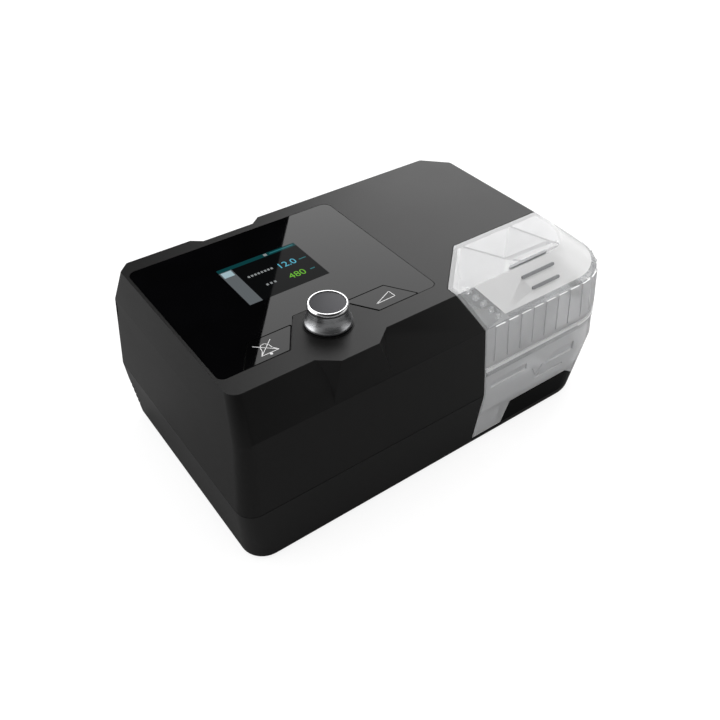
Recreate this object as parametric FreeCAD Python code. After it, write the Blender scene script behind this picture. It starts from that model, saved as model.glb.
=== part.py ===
"""Bench-top CPAP machine with a heated water chamber at its right front corner.

Millimetres. X runs along the front from left to right, Y from front to back, Z up.
The origin is the centre of the footprint on the table, and the rubber feet stand on Z = 0.
"""

import FreeCAD, Part
import math
import os

os.makedirs("parts", exist_ok=True)
Vector = FreeCAD.Vector
UP = Vector(0, 0, 1)
BACKWARD = Vector(0, 1, 0)
INTERSECTION = 2

# ---------------------------------------------------------------- driving dimensions
# Overall size, taken over the casing's seam and the rim of the water chamber.
case_length = 265.0
case_depth = 150.0
case_height = 104.5
foot_height = 2.0
rim_overhang = 2.5

# Heights of the casing's edges above its own underside.
knee_height = 25.0
seam_height = 36.5
crease_height = 81.5

# Walls and gaps.
wall = 2.4
top_wall = 3.2
floor_wall = 2.4
seam_gap = 0.3
panel_gap = 0.3
slide_gap = 0.4
seat_gap = 0.3
bond = 0.5
overrun = 5.0
crease_drop_share = 0.4
top_inset_share = 0.7

# How far each edge of the casing lies inside the seam's outline.
bottom_inset_left = 2.6
bottom_inset_front = 1.2
bottom_inset_right = 12.0
bottom_inset_back = 7.0
knee_inset_back = 0.8
crease_inset_left = 4.6
crease_inset_front = 4.4
top_inset_left = 8.1
top_inset_front = 15.4
top_inset_right = 28.6
top_inset_back = 7.0

# Corner radii and corner cuts, from the bottom to the top.
bottom_corner = 13.0
seam_corner = 10.0
crease_corner = 8.0
top_corner = 6.5
bottom_round = 27.0
seam_round = 31.0
crease_round = 33.0
top_round = 26.0
back_cut_left = 2.0
back_cut_left_top = 6.0
back_cut_right = 14.0
back_corner_left = 1.5
back_corner_right = 3.0

# Front bulge that carries the dial, centred on the control panel.
bulge_top_half_width = 11.0
bulge_root_half_width = 21.8
bulge_foot_half_width = 18.0
bulge_reach = 7.8

# Notch in the upper back edge.
notch_offset = 15.9
notch_length = 32.0
notch_depth = 4.6
notch_height = 13.0
notch_slant = 6.0

# Control panel: glass, screen, keys and dial share one centre line.
glass_margin_left = 10.1
glass_margin_right = 2.4
glass_setback = 28.4
glass_depth = 104.6
glass_thickness = 1.2
glass_corner = 4.0
glass_back_corner = 5.0
dial_bay_half_width = 26.3
dial_bay_depth = 21.9
dial_bay_front_corner = 0.6
dial_bay_back_corner = 1.5
key_slant = 0.66
key_margin_inner = 0.4
key_margin_outer = 12.5
key_depth = 16.3
key_corner = 0.8
key_travel = 0.4
key_well = 1.2
key_post_radius = 1.8
screen_width = 49.0
screen_height = 36.8
screen_setback = 42.0
screen_frame = 4.0
screen_thickness = 4.0
screen_sink = 0.2

# Dial.
dial_setback = 6.9
dial_skirt_radius = 12.1
dial_rim_height = 1.1
dial_waist_radius = 9.2
dial_flank_bulge = 0.75
dial_flank_share = 0.42
dial_neck_height = 1.8
dial_ring_radius = 10.2
dial_ring_width = 1.5
dial_ring_height = 2.6
dial_ring_bevel = 0.5
dial_cap_thickness = 1.8
dial_height = 13.6
dial_travel = 0.5
dial_float = 0.2
dial_bezel_radius = 13.0
dial_bezel_height = 0.4
shaft_radius = 3.0
shaft_clearance = 0.05
sleeve_radius = 4.0
sleeve_rise = 0.6
sleeve_bore_gap = 1.0

# Boards and what stands on the main one.
board_thickness = 1.6
board_corner = 2.0
main_board_drop = 12.0
main_board_margin = 10.4
main_board_depth = 96.0
main_board_lead = 1.4
hanger_radius = 3.0
hanger_edge = 5.0
switch_height = 4.3
switch_size = 6.0
switch_stem_radius = 1.6
switch_stem_height = 0.8
switch_slack = 0.05
encoder_size = 13.0
encoder_height = 6.5
encoder_floor = 1.0
buzzer_radius = 5.0
buzzer_height = 3.5
buzzer_margin = 9.5
connector_width = 20.0
connector_depth = 4.0
connector_height = 2.5

# Bay of the water chamber: plan outline at the crease, and how it shifts.
bay_length = 107.5
bay_depth = 51.6
bay_cut = 19.0
bay_cut_top = 29.2
bay_shift_top = -13.7
bay_shift_seam = 1.0
bay_shift_bottom = -3.5
tray_floor_height = 2.6
heel_top_height = 18.0
heel_left_offset = 20.0
heel_length = 51.5
heel_slope_left = 5.0
heel_slope_right = 11.2
heel_shoulder_height = 8.6

# Water chamber.
tub_wall = 2.4
lid_wall = 2.2
rim_height = 3.0
rim_front_overhang = 0.7
lid_flange_thickness = 2.4
lid_flange_step = 0.6
port_flange_gap = 1.3
leg_wall = 3.0
leg_setback = 4.0
seal_gap = 0.15
seal_thickness = 1.9
seal_depth = 2.6
seal_height = 4.6
tub_plate_width = 42.0
tub_plate_depth = 36.0
tub_plate_thickness = 1.0
tub_plate_edge = 2.0
tub_plate_offset = 48.5
tub_plate_setback = 27.5
port_radius = 7.5
port_seal_width = 2.4
inlet_port_offset = 37.5
outlet_port_offset = 72.5

# Grips, flutes and teeth of the chamber.
grip_offset = 25.1
grip_length = 27.9
grip_width = 1.8
grip_rise = 1.0
grip_shift = 5.9
grip_shrink = 3.5
grip_pitch = 8.2
grip_start = -1.7
grip_count = 3
grip_end_share = 0.95
flute_start = 6.9
flute_pitch = 9.7
flute_width = 7.0
flute_rise = 0.8
flute_foot_gap = 3.0
tooth_count = 5
tooth_width = 3.0
tooth_height = 2.6
tooth_depth = 2.0
tooth_offset_top = 5.6
tooth_offset_bottom = 12.2
channel_depth = 26.0
channel_slant = 1.3
channel_lean = 0.6
channel_flare_left = 12.2
channel_flare_right = 8.3
baffle_wall = 1.6
baffle_drop = 14.0
baffle_taper_left = 8.0
baffle_spread_right = 4.0
recess_offset = 5.9
recess_length = 28.0
recess_height = 4.0
recess_low = 39.5
recess_sink = 1.2
slot_offset = 50.5
slot_length = 23.0
slot_height = 6.0
slot_low = 35.5
slot_sink = 1.5
tab_offset = 38.2
tab_width = 9.3
tab_height = 9.5
tab_top = 37.0
tab_line = 1.2
tab_sink = 0.7

# Heater under the chamber.
heater_width = 44.0
heater_depth = 38.0
heater_thickness = 2.2
heater_rise = 0.2
heater_pocket = 8.0
heater_tray_thickness = 2.0
heater_cable_length = 36.0
heater_cable_depth = 30.0
spring_radius = 2.6
spring_wire = 0.8
spring_inset = 6.0

# Air path: blower, ducts and muffler.
blower_offset = 8.0
blower_setback = 55.0
volute_radius = 34.0
volute_growth = 1.75
volute_wall = 2.0
volute_height = 28.0
throat_length = 6.0
impeller_radius = 23.0
impeller_height = 12.0
impeller_drop = 4.0
disc_thickness = 1.6
hub_radius = 6.0
blade_count = 9
blade_thickness = 1.2
blade_sweep = 9.0
blade_bow = 3.0
motor_radius = 19.0
motor_height = 11.0
motor_end = 2.0
motor_gap = 1.9
rotor_radius = 2.0
rotor_clearance = 0.05
duct_radius = 10.0
duct_wall = 1.6
duct_bend = 24.0
eye_radius = 12.0
boot_wall = 2.0
mount_radius = 4.0
mount_height = 7.0
mount_ring_gap = 3.0
muffler_margin_left = 21.5
muffler_margin_right = 4.0
muffler_length_front = 50.0
muffler_wall = 2.0
foam_lining = 3.0
foam_channel_length = 30.0
sensor_length = 18.0
sensor_width = 14.0
sensor_height = 6.0
sensor_saddle = 3.0

# Air outlet in the back wall.
connector_radius = 11.0
connector_length = 18.0
outlet_well_radius = 17.0
outlet_well_depth = 20.0
outlet_well_wall = 1.0
outlet_well_floor = 2.0

# Louvred intake corner at the lower left back.
louvre_length = 60.5
louvre_depth = 14.0
louvre_bottom_height = 2.6
louvre_top_height = 24.0
louvre_count = 5
louvre_slot = 1.8
louvre_edge = 2.4
louvre_bar = 3.0
frame_wall = 2.3
filter_margin_left = 24.0
filter_margin_right = 6.5
filter_bottom = 2.9
filter_height = 14.6
filter_thickness = 8.0

# Power board and the sockets on the back.
power_board_rise = 10.0
power_board_length = 72.0
power_board_depth = 64.0
power_board_margin_right = 30.0
power_board_margin_back = 9.0
board_post_inset = 4.0
power_jack_offset = 84.0
power_jack_radius = 2.75
power_jack_barrel = 5.8
power_jack_height = 12.0
power_jack_width = 14.0
power_jack_depth = 11.0
power_pin_radius = 1.0
data_port_offset = 64.0
data_port_width = 10.0
data_port_height = 6.6
data_port_depth = 9.8
data_port_shell = 1.0
data_tongue = 0.8
card_slot_offset = 42.0
card_width = 24.0
card_length = 32.0
card_thickness = 2.1
card_notch = 4.0
card_reach = 4.0
card_slack = 0.1
socket_depth = 28.0
socket_shell = 0.4
power_parts_share = 0.4
capacitor_pitch = 12.0
capacitor_radius = 5.0
capacitor_height = 14.0
coil_radius = 7.0
coil_bore = 3.0
coil_height = 8.0
sink_width = 14.0
sink_depth = 22.0
sink_height = 12.0

# Small slot on the left wall near the back.
side_slot_length = 9.0
side_slot_width = 1.6
side_slot_offset = 2.6

# Fasteners and feet.
foot_radius = 7.0
foot_recess = 0.8
foot_clearance = 0.1
foot_inset_side = 28.5
foot_inset_front = 29.0
foot_inset_back = 33.0
foot_inset_right_front = 58.0
foot_inset_right_back = 42.0
post_radius = 5.5
boss_radius = 4.0
post_inset_side = 15.5
post_inset_front = 15.0
post_inset_back = 35.0
post_inset_bay = 24.5
post_offset_duct = 15.5
post_inset_right_back = 45.0
screw_radius = 1.4
screw_clearance = 0.3
screw_head_radius = 3.0
screw_head_height = 2.2
screw_seat_height = 6.0
screw_length = 42.0
screw_bite = 15.7

# ---------------------------------------------------------------- derived places
bottom_z = foot_height
knee_z = bottom_z + knee_height
seam_z = bottom_z + seam_height
crease_z = bottom_z + crease_height
top_z = bottom_z + case_height
ceiling_z = top_z - top_wall
floor_z = bottom_z + floor_wall
seam_left = -case_length / 2
seam_right = case_length / 2 - rim_overhang
seam_front = -case_depth / 2
seam_back = case_depth / 2
top_front = seam_front + top_inset_front
top_back = seam_back - top_inset_back

bay_left_x = seam_right - bay_length
bay_back_y = seam_front + bay_depth

glass_left_x = seam_left + glass_margin_left
glass_right_x = bay_left_x + bay_shift_top - glass_margin_right
panel_x = (glass_left_x + glass_right_x) / 2
key_inner = dial_bay_half_width + key_margin_inner
key_outer = glass_right_x - key_margin_outer - panel_x
glass_front_y = seam_front + glass_setback
glass_back_y = glass_front_y + glass_depth
screen_front_y = glass_front_y + screen_setback
dial_y = glass_front_y + dial_setback
dial_low_z = top_z + dial_bezel_height + dial_travel + dial_float
dial_top_z = top_z + dial_height
notch_left_x = panel_x - notch_offset
main_board_z = top_z - main_board_drop
main_board_left_x = glass_left_x + main_board_margin
main_board_right_x = glass_right_x - main_board_margin
main_board_front_y = glass_front_y - main_board_lead

heel_left_x = bay_left_x + heel_left_offset
heel_right_x = heel_left_x + heel_length
heel_z = bottom_z + heel_top_height
tray_z = bottom_z + tray_floor_height
shoulder_z = bottom_z + heel_shoulder_height
tub_floor_z = heel_z + slide_gap + heater_rise
tub_plate_x = bay_left_x + tub_plate_offset
tub_plate_y = seam_front + tub_plate_setback
inlet_port_x = bay_left_x + inlet_port_offset
outlet_port_x = bay_left_x + outlet_port_offset

blower_x = panel_x + blower_offset
blower_y = seam_back - blower_setback
port_z = main_board_z - board_thickness - motor_gap - motor_height - volute_height / 2
joint_z = port_z - port_radius - port_flange_gap - lid_flange_thickness
volute_low_z = port_z - volute_height / 2
volute_high_z = port_z + volute_height / 2
duct_y = blower_y + volute_radius - duct_radius
duct_start_x = blower_x + volute_radius + throat_length
bay_wall_back_y = bay_back_y + slide_gap + wall
well_floor_y = seam_back - outlet_well_depth

louvre_right_x = seam_left + louvre_length
louvre_front_y = seam_back - louvre_depth
muffler_left_x = seam_left + muffler_margin_left
muffler_right_x = blower_x + volute_radius + muffler_margin_right
muffler_front_y = blower_y - muffler_length_front
muffler_back_y = louvre_front_y - panel_gap - frame_wall - seat_gap
muffler_high_z = volute_low_z - mount_height
filter_left_x = seam_left + filter_margin_left
filter_right_x = louvre_right_x - filter_margin_right
filter_low_z = floor_z + filter_bottom

power_board_z = bottom_z + power_board_rise
power_top_z = power_board_z + board_thickness
power_board_right_x = seam_right - power_board_margin_right
power_board_left_x = power_board_right_x - power_board_length
power_board_back_y = seam_back - power_board_margin_back
power_board_front_y = power_board_back_y - power_board_depth
power_jack_x = seam_right - power_jack_offset
power_jack_z = power_top_z + power_jack_height / 2
data_port_x = seam_right - data_port_offset
card_slot_x = seam_right - card_slot_offset
post_places = [
    (seam_left + post_inset_side, seam_front + post_inset_front),
    (seam_left + post_inset_side, seam_back - post_inset_back),
    (bay_left_x - post_inset_bay, seam_front + post_inset_front),
    (outlet_port_x + post_offset_duct, seam_back - post_inset_right_back),
]
foot_places = [
    (seam_left + foot_inset_side, seam_front + foot_inset_front),
    (seam_left + foot_inset_side, seam_back - foot_inset_back),
    (seam_right - foot_inset_right_front, seam_front + foot_inset_front),
    (seam_right - foot_inset_right_back, seam_back - foot_inset_back),
]


# ---------------------------------------------------------------- small shape tools
def between(low, high, share):
    return low + (high - low) * share


def rounded_wire(corners, z):
    """Closed outline at height z through (x, y, radius) corners."""
    starts = []
    ends = []
    arcs = {}
    count = len(corners)
    for i, (x, y, radius) in enumerate(corners):
        here = Vector(x, y, z)
        before = Vector(corners[i - 1][0], corners[i - 1][1], z)
        after = Vector(corners[(i + 1) % count][0], corners[(i + 1) % count][1], z)
        to_before = (before - here).normalize()
        to_after = (after - here).normalize()
        half = to_before.getAngle(to_after) / 2
        reach = radius / math.tan(half)
        start = here + to_before * reach
        end = here + to_after * reach
        starts.append(start)
        ends.append(end)
        if radius > 0:
            inward = (to_before + to_after).normalize()
            centre = here + inward * (radius / math.sin(half))
            arcs[i] = Part.Arc(start, centre - inward * radius, end).toShape()
    pieces = []
    for i in range(count):
        if i in arcs:
            pieces.append(arcs[i])
        pieces.append(Part.makeLine(ends[i], starts[(i + 1) % count]))
    return Part.Wire(pieces)


def sharp(points):
    """Outline corners without rounding."""
    return [(x, y, 0.0) for x, y in points]


def evenly(points, radius):
    """Outline corners that all have one radius."""
    return [(x, y, radius) for x, y in points]


def plan(x_low, x_high, y_low, y_high):
    return [(x_low, y_low), (x_high, y_low), (x_high, y_high), (x_low, y_high)]


def prism(corners, z_low, z_high):
    """Upright solid over a rounded outline."""
    return Part.Face(rounded_wire(corners, z_low)).extrude(Vector(0, 0, z_high - z_low))


def front_prism(points, y_low, y_high):
    """Solid over an (x, z) outline, run from y_low to y_high."""
    wire = Part.makePolygon([Vector(x, y_low, z) for x, z in points + points[:1]])
    return Part.Face(wire).extrude(Vector(0, y_high - y_low, 0))


def block(x_low, x_high, y_low, y_high, z_low, z_high):
    return Part.makeBox(x_high - x_low, y_high - y_low, z_high - z_low, Vector(x_low, y_low, z_low))


def slab(z_low, z_high):
    """Everything between two heights."""
    return block(-case_length, case_length, -case_depth, case_depth, z_low, z_high)


def rod(radius, x, y, z_low, z_high):
    return Part.makeCylinder(radius, z_high - z_low, Vector(x, y, z_low), UP)


def rod_back(radius, x, z, y_low, y_high):
    """Cylinder along Y."""
    return Part.makeCylinder(radius, y_high - y_low, Vector(x, y_low, z), BACKWARD)


def tube(outer, inner, x, y, z_low, z_high):
    return rod(outer, x, y, z_low, z_high).cut(rod(inner, x, y, z_low, z_high))


def tube_back(outer, inner, x, z, y_low, y_high):
    return rod_back(outer, x, z, y_low, y_high).cut(rod_back(inner, x, z, y_low, y_high))


def line(start, end):
    """Edge in the X-Z plane between two (radius, height) points."""
    return Part.makeLine(Vector(start[0], 0, start[1]), Vector(end[0], 0, end[1]))


def ring_of_lines(points):
    """Closed (radius, height) profile with straight sides."""
    count = len(points)
    return [line(points[i], points[(i + 1) % count]) for i in range(count)]


def turned(edges, x, y):
    """Solid of revolution of a closed X-Z profile about the upright axis through (x, y)."""
    face = Part.Face(Part.Wire(edges))
    face.translate(Vector(x, y, 0))
    return face.revolve(Vector(x, y, 0), UP, 360)


def joined(shapes):
    result = shapes[0]
    for shape in shapes[1:]:
        result = result.fuse(shape)
    return result.removeSplitter()


def without(shape, cuts):
    for cut in cuts:
        shape = shape.cut(cut)
    return shape


def save(name, shape):
    shape.exportStep("parts/" + name + ".step")


# ---------------------------------------------------------------- outer form of the machine
def body_outline(z, left, front, right, back, corner, round_, inset):
    """Six-cornered plan outline: rounded at the front, cut off at the back."""
    low_x = seam_left + left + inset
    high_x = seam_right - right - inset
    low_y = seam_front + front + inset
    high_y = seam_back - back - inset
    rise = max(0.0, (z - crease_z) / (top_z - crease_z))
    cut_left = between(back_cut_left, back_cut_left_top, rise)
    corners = [
        (low_x, low_y, max(corner - inset, 1.0)),
        (high_x, low_y, round_ - inset),
        (high_x, high_y - back_cut_right, back_corner_right),
        (high_x - back_cut_right, high_y, back_corner_right),
        (low_x + cut_left, high_y, back_corner_left),
        (low_x, high_y - cut_left, back_corner_left),
    ]
    return rounded_wire(corners, z)


def base_outlines(inset, low_z):
    """Outlines of the base from its underside, or a floor at low_z, up to the seam."""
    share = knee_height / seam_height
    rise = (low_z - bottom_z) / seam_height
    back_rise = (low_z - bottom_z) / knee_height
    lowest = body_outline(
        low_z,
        bottom_inset_left * (1 - rise),
        bottom_inset_front * (1 - rise),
        bottom_inset_right * (1 - rise),
        between(bottom_inset_back, knee_inset_back, back_rise),
        bottom_corner,
        between(bottom_round, seam_round, rise),
        inset,
    )
    knee = body_outline(
        knee_z,
        bottom_inset_left * (1 - share),
        bottom_inset_front * (1 - share),
        bottom_inset_right * (1 - share),
        knee_inset_back,
        between(bottom_corner, seam_corner, share),
        between(bottom_round, seam_round, share),
        inset,
    )
    seam = body_outline(seam_z, 0, 0, 0, 0, seam_corner, seam_round, inset)
    return [lowest, knee, seam]


def upper_outlines(inset, high_z):
    """Outlines of the upper body from the seam, over the crease, to its top."""
    crease_drop = inset * crease_drop_share
    top_inset = inset * top_inset_share
    seam = body_outline(seam_z, 0, 0, 0, 0, seam_corner, seam_round, inset)
    crease = body_outline(
        crease_z - crease_drop,
        crease_inset_left,
        crease_inset_front,
        0,
        0,
        crease_corner,
        crease_round,
        inset,
    )
    top = body_outline(
        high_z,
        top_inset_left,
        top_inset_front,
        top_inset_right,
        top_inset_back,
        top_corner,
        top_round,
        top_inset,
    )
    return [seam, crease, top]


def base_form(inset=0.0, low_z=bottom_z):
    return Part.makeLoft(base_outlines(inset, low_z), True, True)


def upper_form(inset=0.0, high_z=top_z):
    return Part.makeLoft(upper_outlines(inset, high_z), True, True)


def back_face_y(z):
    """Y of the base's back wall at height z, under the knee."""
    return seam_back - between(bottom_inset_back, knee_inset_back, (z - bottom_z) / knee_height)


def front_face_y(z):
    """Y of the upper front wall at height z, between the seam and the crease."""
    return seam_front + crease_inset_front * (z - seam_z) / (crease_z - seam_z)


def slope_y(z):
    """Y of the slope between the front crease and the top at height z."""
    return between(seam_front + crease_inset_front, top_front, (z - crease_z) / (top_z - crease_z))


def bay_shift(z):
    """How far the bay's left edge at height z lies to the right of where it is at the crease."""
    if z >= crease_z:
        return bay_shift_top * (z - crease_z) / (top_z - crease_z)
    if z >= seam_z:
        return between(bay_shift_seam, 0.0, (z - seam_z) / (crease_z - seam_z))
    return between(bay_shift_bottom, bay_shift_seam, (z - bottom_z) / seam_height)


def bay_corners(z, gap):
    """Plan of the chamber's bay at height z, grown by gap and open to the front and right."""
    cut = between(bay_cut, bay_cut_top, max(0.0, (z - crease_z) / (top_z - crease_z)))
    left = bay_left_x + bay_shift(z) - gap
    back = bay_back_y + gap
    grown_cut = cut + gap * (2 - math.sqrt(2))
    far = case_length
    return sharp([(left, -far), (far, -far), (far, back), (left + grown_cut, back), (left, back - grown_cut)])


def bay_form(gap):
    """Space of the chamber's bay, grown by gap."""
    levels = [bottom_z - overrun, seam_z, crease_z, top_z + overrun]
    return Part.makeLoft([rounded_wire(bay_corners(z, gap), z) for z in levels], True, True)


def under_tray(gap):
    """Everything under the tray and heel that carry the chamber, raised by gap."""
    far = case_length
    outline = [
        (bay_left_x - overrun * 5, -overrun),
        (bay_left_x - overrun * 5, tray_z + gap),
        (heel_left_x - gap, tray_z + gap),
        (heel_left_x + heel_slope_left - gap, heel_z + gap),
        (heel_right_x + gap / 2, heel_z + gap),
        (heel_right_x + heel_slope_right + gap / 2, shoulder_z + gap),
        (far, shoulder_z + gap),
        (far, -overrun),
    ]
    return front_prism(outline, -case_depth, case_depth)


# ---------------------------------------------------------------- control panel outlines
def key_corners(side, gap):
    """Slanted key outline; side is -1 for the left key and 1 for the right one."""
    slant_gap = gap * math.sqrt(1 + key_slant**2)
    front = glass_front_y - gap
    back = glass_front_y + key_depth + gap
    inner = key_inner + key_slant * gap - slant_gap
    outer = key_outer + key_slant * gap + slant_gap
    lean = key_slant * (back - front)
    points = [
        (panel_x + side * inner, front),
        (panel_x + side * outer, front),
        (panel_x + side * (outer - lean), back),
        (panel_x + side * (inner - lean), back),
    ]
    return evenly(points, key_corner)


def key_centre(side):
    middle = (key_inner + key_outer - key_slant * key_depth) / 2
    return panel_x + side * middle, glass_front_y + key_depth / 2


def glass_corners(gap):
    """Outline of the glass with the dial's bay taken out of its front edge."""
    left = glass_left_x - gap
    right = glass_right_x + gap
    front = glass_front_y - gap
    back = glass_back_y + gap
    narrow = dial_bay_half_width - key_slant * dial_bay_depth
    wide = dial_bay_half_width
    return [
        (left, front, glass_corner),
        (panel_x - wide + gap, front, dial_bay_front_corner),
        (panel_x - narrow + gap, front + dial_bay_depth, dial_bay_back_corner),
        (panel_x + narrow - gap, front + dial_bay_depth, dial_bay_back_corner),
        (panel_x + wide - gap, front, dial_bay_front_corner),
        (right, front, glass_corner),
        (right, back, glass_back_corner),
        (left, back, glass_back_corner),
    ]


def screen_block(margin, z_low, z_high):
    """Block over the screen's active area, grown by margin."""
    return block(
        panel_x - screen_width / 2 - margin,
        panel_x + screen_width / 2 + margin,
        screen_front_y - margin,
        screen_front_y + screen_height + margin,
        z_low,
        z_high,
    )


# ---------------------------------------------------------------- top casing
def front_bulge():
    """Block that carries the top face forward under the dial."""
    root = top_front + bond
    foot = seam_front + crease_inset_front + seam_gap
    low = [
        (panel_x - bulge_foot_half_width, foot),
        (panel_x + bulge_foot_half_width, foot),
        (panel_x + bulge_root_half_width, root),
        (panel_x - bulge_root_half_width, root),
    ]
    high = [
        (panel_x - bulge_top_half_width, top_front - bulge_reach),
        (panel_x + bulge_top_half_width, top_front - bulge_reach),
        (panel_x + bulge_root_half_width, root),
        (panel_x - bulge_root_half_width, root),
    ]
    return Part.makeLoft([rounded_wire(sharp(low), crease_z), rounded_wire(sharp(high), top_z)], True, True)


def back_notch(gap):
    """Shallow bite with slanted ends out of the upper back edge, grown by gap."""
    left = notch_left_x
    right = notch_left_x + notch_length
    low = top_z - notch_height - gap
    points = [
        (left, top_back - notch_depth),
        (right, top_back - notch_depth),
        (right + notch_slant, top_back),
        (right + notch_slant, seam_back + overrun),
        (left - notch_slant, seam_back + overrun),
        (left - notch_slant, top_back),
    ]
    wire = rounded_wire(sharp(points), low)
    if gap > 0:
        wire = wire.makeOffset2D(gap, INTERSECTION)
    return Part.Face(wire).extrude(Vector(0, 0, top_z + overrun - low))


def top_openings():
    """Everything cut through the top face: glass seat, screen, key wells and dial hole."""
    cuts = [prism(glass_corners(panel_gap), top_z - glass_thickness, top_z + overrun)]
    for side in (-1, 1):
        x, y = key_centre(side)
        cuts.append(prism(key_corners(side, panel_gap), top_z - glass_thickness - key_well, top_z + overrun))
        cuts.append(rod(key_post_radius + seat_gap, x, y, ceiling_z - bond, top_z))
    cuts.append(screen_block(screen_frame + panel_gap, ceiling_z - bond, top_z))
    cuts.append(rod(sleeve_radius + sleeve_bore_gap, panel_x, dial_y, ceiling_z - bond, top_z + overrun))
    return cuts


def board_hangers():
    """Bosses from the ceiling down to the main board."""
    front = main_board_front_y + main_board_depth / 4
    back = main_board_front_y + main_board_depth - hanger_edge
    bosses = []
    for x in (main_board_left_x + hanger_edge, main_board_right_x - hanger_edge):
        for y in (front, back):
            bosses.append(rod(hanger_radius, x, y, main_board_z, ceiling_z + bond))
    return bosses


def screw_bosses():
    """Tall bosses that take the case screws from below."""
    inside = upper_form(wall / 2, ceiling_z + bond)
    return [rod(boss_radius, x, y, seam_z + seam_gap, top_z).common(inside) for x, y in post_places]


def side_slot():
    """Short upright slot on the left wall, just under the crease near the back."""
    y = seam_back - back_cut_left - side_slot_offset
    high = crease_z - side_slot_width
    far = seam_left - overrun
    return block(far, seam_left + 2 * overrun, y, y + side_slot_width, high - side_slot_length, high)


def top_casing():
    """Upper shell with the bay of the chamber, the panel's seat and the holes behind."""
    outer = joined([upper_form(), front_bulge()]).cut(slab(0, seam_z + seam_gap))
    hollow = without(upper_form(wall, ceiling_z), [bay_form(slide_gap + wall), back_notch(wall)])
    shell = without(outer, [hollow, bay_form(slide_gap), back_notch(0.0)])
    shell = joined([shell] + board_hangers() + screw_bosses())
    cuts = top_openings()
    for x, y in post_places:
        cuts.append(rod(screw_radius + shaft_clearance, x, y, 0, seam_z + screw_bite))
    for x in (inlet_port_x, outlet_port_x):
        seal_radius = port_radius + port_seal_width
        cuts.append(rod_back(seal_radius + seal_gap, x, port_z, bay_back_y, bay_wall_back_y + overrun))
    well_radius = outlet_well_radius + outlet_well_wall + seal_gap
    cuts.append(rod_back(well_radius, outlet_port_x, port_z, well_floor_y, case_depth))
    cuts.append(side_slot())
    return without(shell, cuts)


# ---------------------------------------------------------------- base casing
def louvre_space(gap):
    """Lower left back corner that the louvred cover fills, grown by gap."""
    return block(
        seam_left - overrun,
        louvre_right_x + gap,
        louvre_front_y - gap,
        seam_back + overrun,
        bottom_z + louvre_bottom_height - gap,
        bottom_z + louvre_top_height + gap,
    )


def louvre_frame():
    """Two walls and a roof round the louvred corner."""
    x_low = seam_left
    x_high = louvre_right_x + panel_gap + frame_wall
    y_low = louvre_front_y - panel_gap - frame_wall
    roof_z = bottom_z + louvre_top_height + panel_gap
    front = block(x_low, x_high, y_low, y_low + frame_wall, floor_z - bond, seam_z)
    side = block(x_high - frame_wall, x_high, y_low, seam_back, floor_z - bond, seam_z)
    roof = block(x_low, x_high, y_low, seam_back, roof_z, roof_z + frame_wall)
    inside = base_form(wall / 2)
    return [piece.common(inside) for piece in (front, side, roof)]


def filter_window(margin):
    """Opening from the louvred corner into the muffler, grown by margin."""
    return block(
        filter_left_x - margin,
        filter_right_x + margin,
        muffler_back_y - muffler_wall - overrun,
        louvre_front_y + overrun / 2,
        filter_low_z - margin,
        filter_low_z + filter_height + margin,
    )


def socket_holes():
    """Holes in the base's back wall for the power jack, the data port and the card."""
    front = seam_back - 3 * overrun
    jack = rod_back(power_jack_barrel + 2 * panel_gap, power_jack_x, power_jack_z, front, case_depth)
    half = data_port_width / 2 + panel_gap
    low = power_top_z + data_port_shell
    high = low + data_port_height - 2 * panel_gap
    data = block(data_port_x - half, data_port_x + half, front, case_depth, low, high)
    card_half = card_width / 2 + panel_gap
    card_low = power_top_z + socket_shell
    card = block(
        card_slot_x - card_half,
        card_slot_x + card_half,
        front,
        case_depth,
        card_low - card_slack,
        card_low + card_thickness + 2 * panel_gap,
    )
    return [jack, data, card]


def heater_block(gap, z_low, z_high):
    """Block over the heater plate's outline, grown by gap."""
    return block(
        tub_plate_x - heater_width / 2 - gap,
        tub_plate_x + heater_width / 2 + gap,
        tub_plate_y - heater_depth / 2 - gap,
        tub_plate_y + heater_depth / 2 + gap,
        z_low,
        z_high,
    )


def board_posts():
    """Short posts under the power board's corners."""
    posts = []
    for x in (power_board_left_x + board_post_inset, power_board_right_x - board_post_inset):
        for y in (power_board_front_y + board_post_inset, power_board_back_y - board_post_inset):
            posts.append(rod(hanger_radius, x, y, floor_z - bond, power_board_z))
    return posts


def base_casing():
    """Lower tray with the heel that the chamber stands on."""
    hollow = base_form(wall, floor_z).cut(bay_form(slide_gap + wall))
    posts = [rod(post_radius, x, y, bottom_z + bond, seam_z) for x, y in post_places]
    shell = joined([base_form().cut(hollow)] + posts + board_posts() + louvre_frame())
    cable_room = block(
        tub_plate_x - heater_cable_length / 2,
        tub_plate_x + heater_cable_length / 2,
        tub_plate_y - heater_cable_depth / 2,
        tub_plate_y + heater_cable_depth / 2,
        floor_z,
        heel_z,
    )
    cuts = [
        bay_form(slide_gap).cut(under_tray(0.0)),
        louvre_space(panel_gap),
        heater_block(seat_gap, heel_z - heater_pocket, heel_z + bond),
        cable_room,
        filter_window(seat_gap),
    ]
    cuts += socket_holes()
    for x, y in post_places:
        cuts.append(rod(screw_radius + screw_clearance, x, y, 0, case_height))
        cuts.append(rod(screw_head_radius + screw_clearance, x, y, 0, bottom_z + screw_seat_height))
    for x, y in foot_places:
        cuts.append(rod(foot_radius + foot_clearance, x, y, 0, bottom_z + foot_recess))
    return without(shell, cuts)


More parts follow.
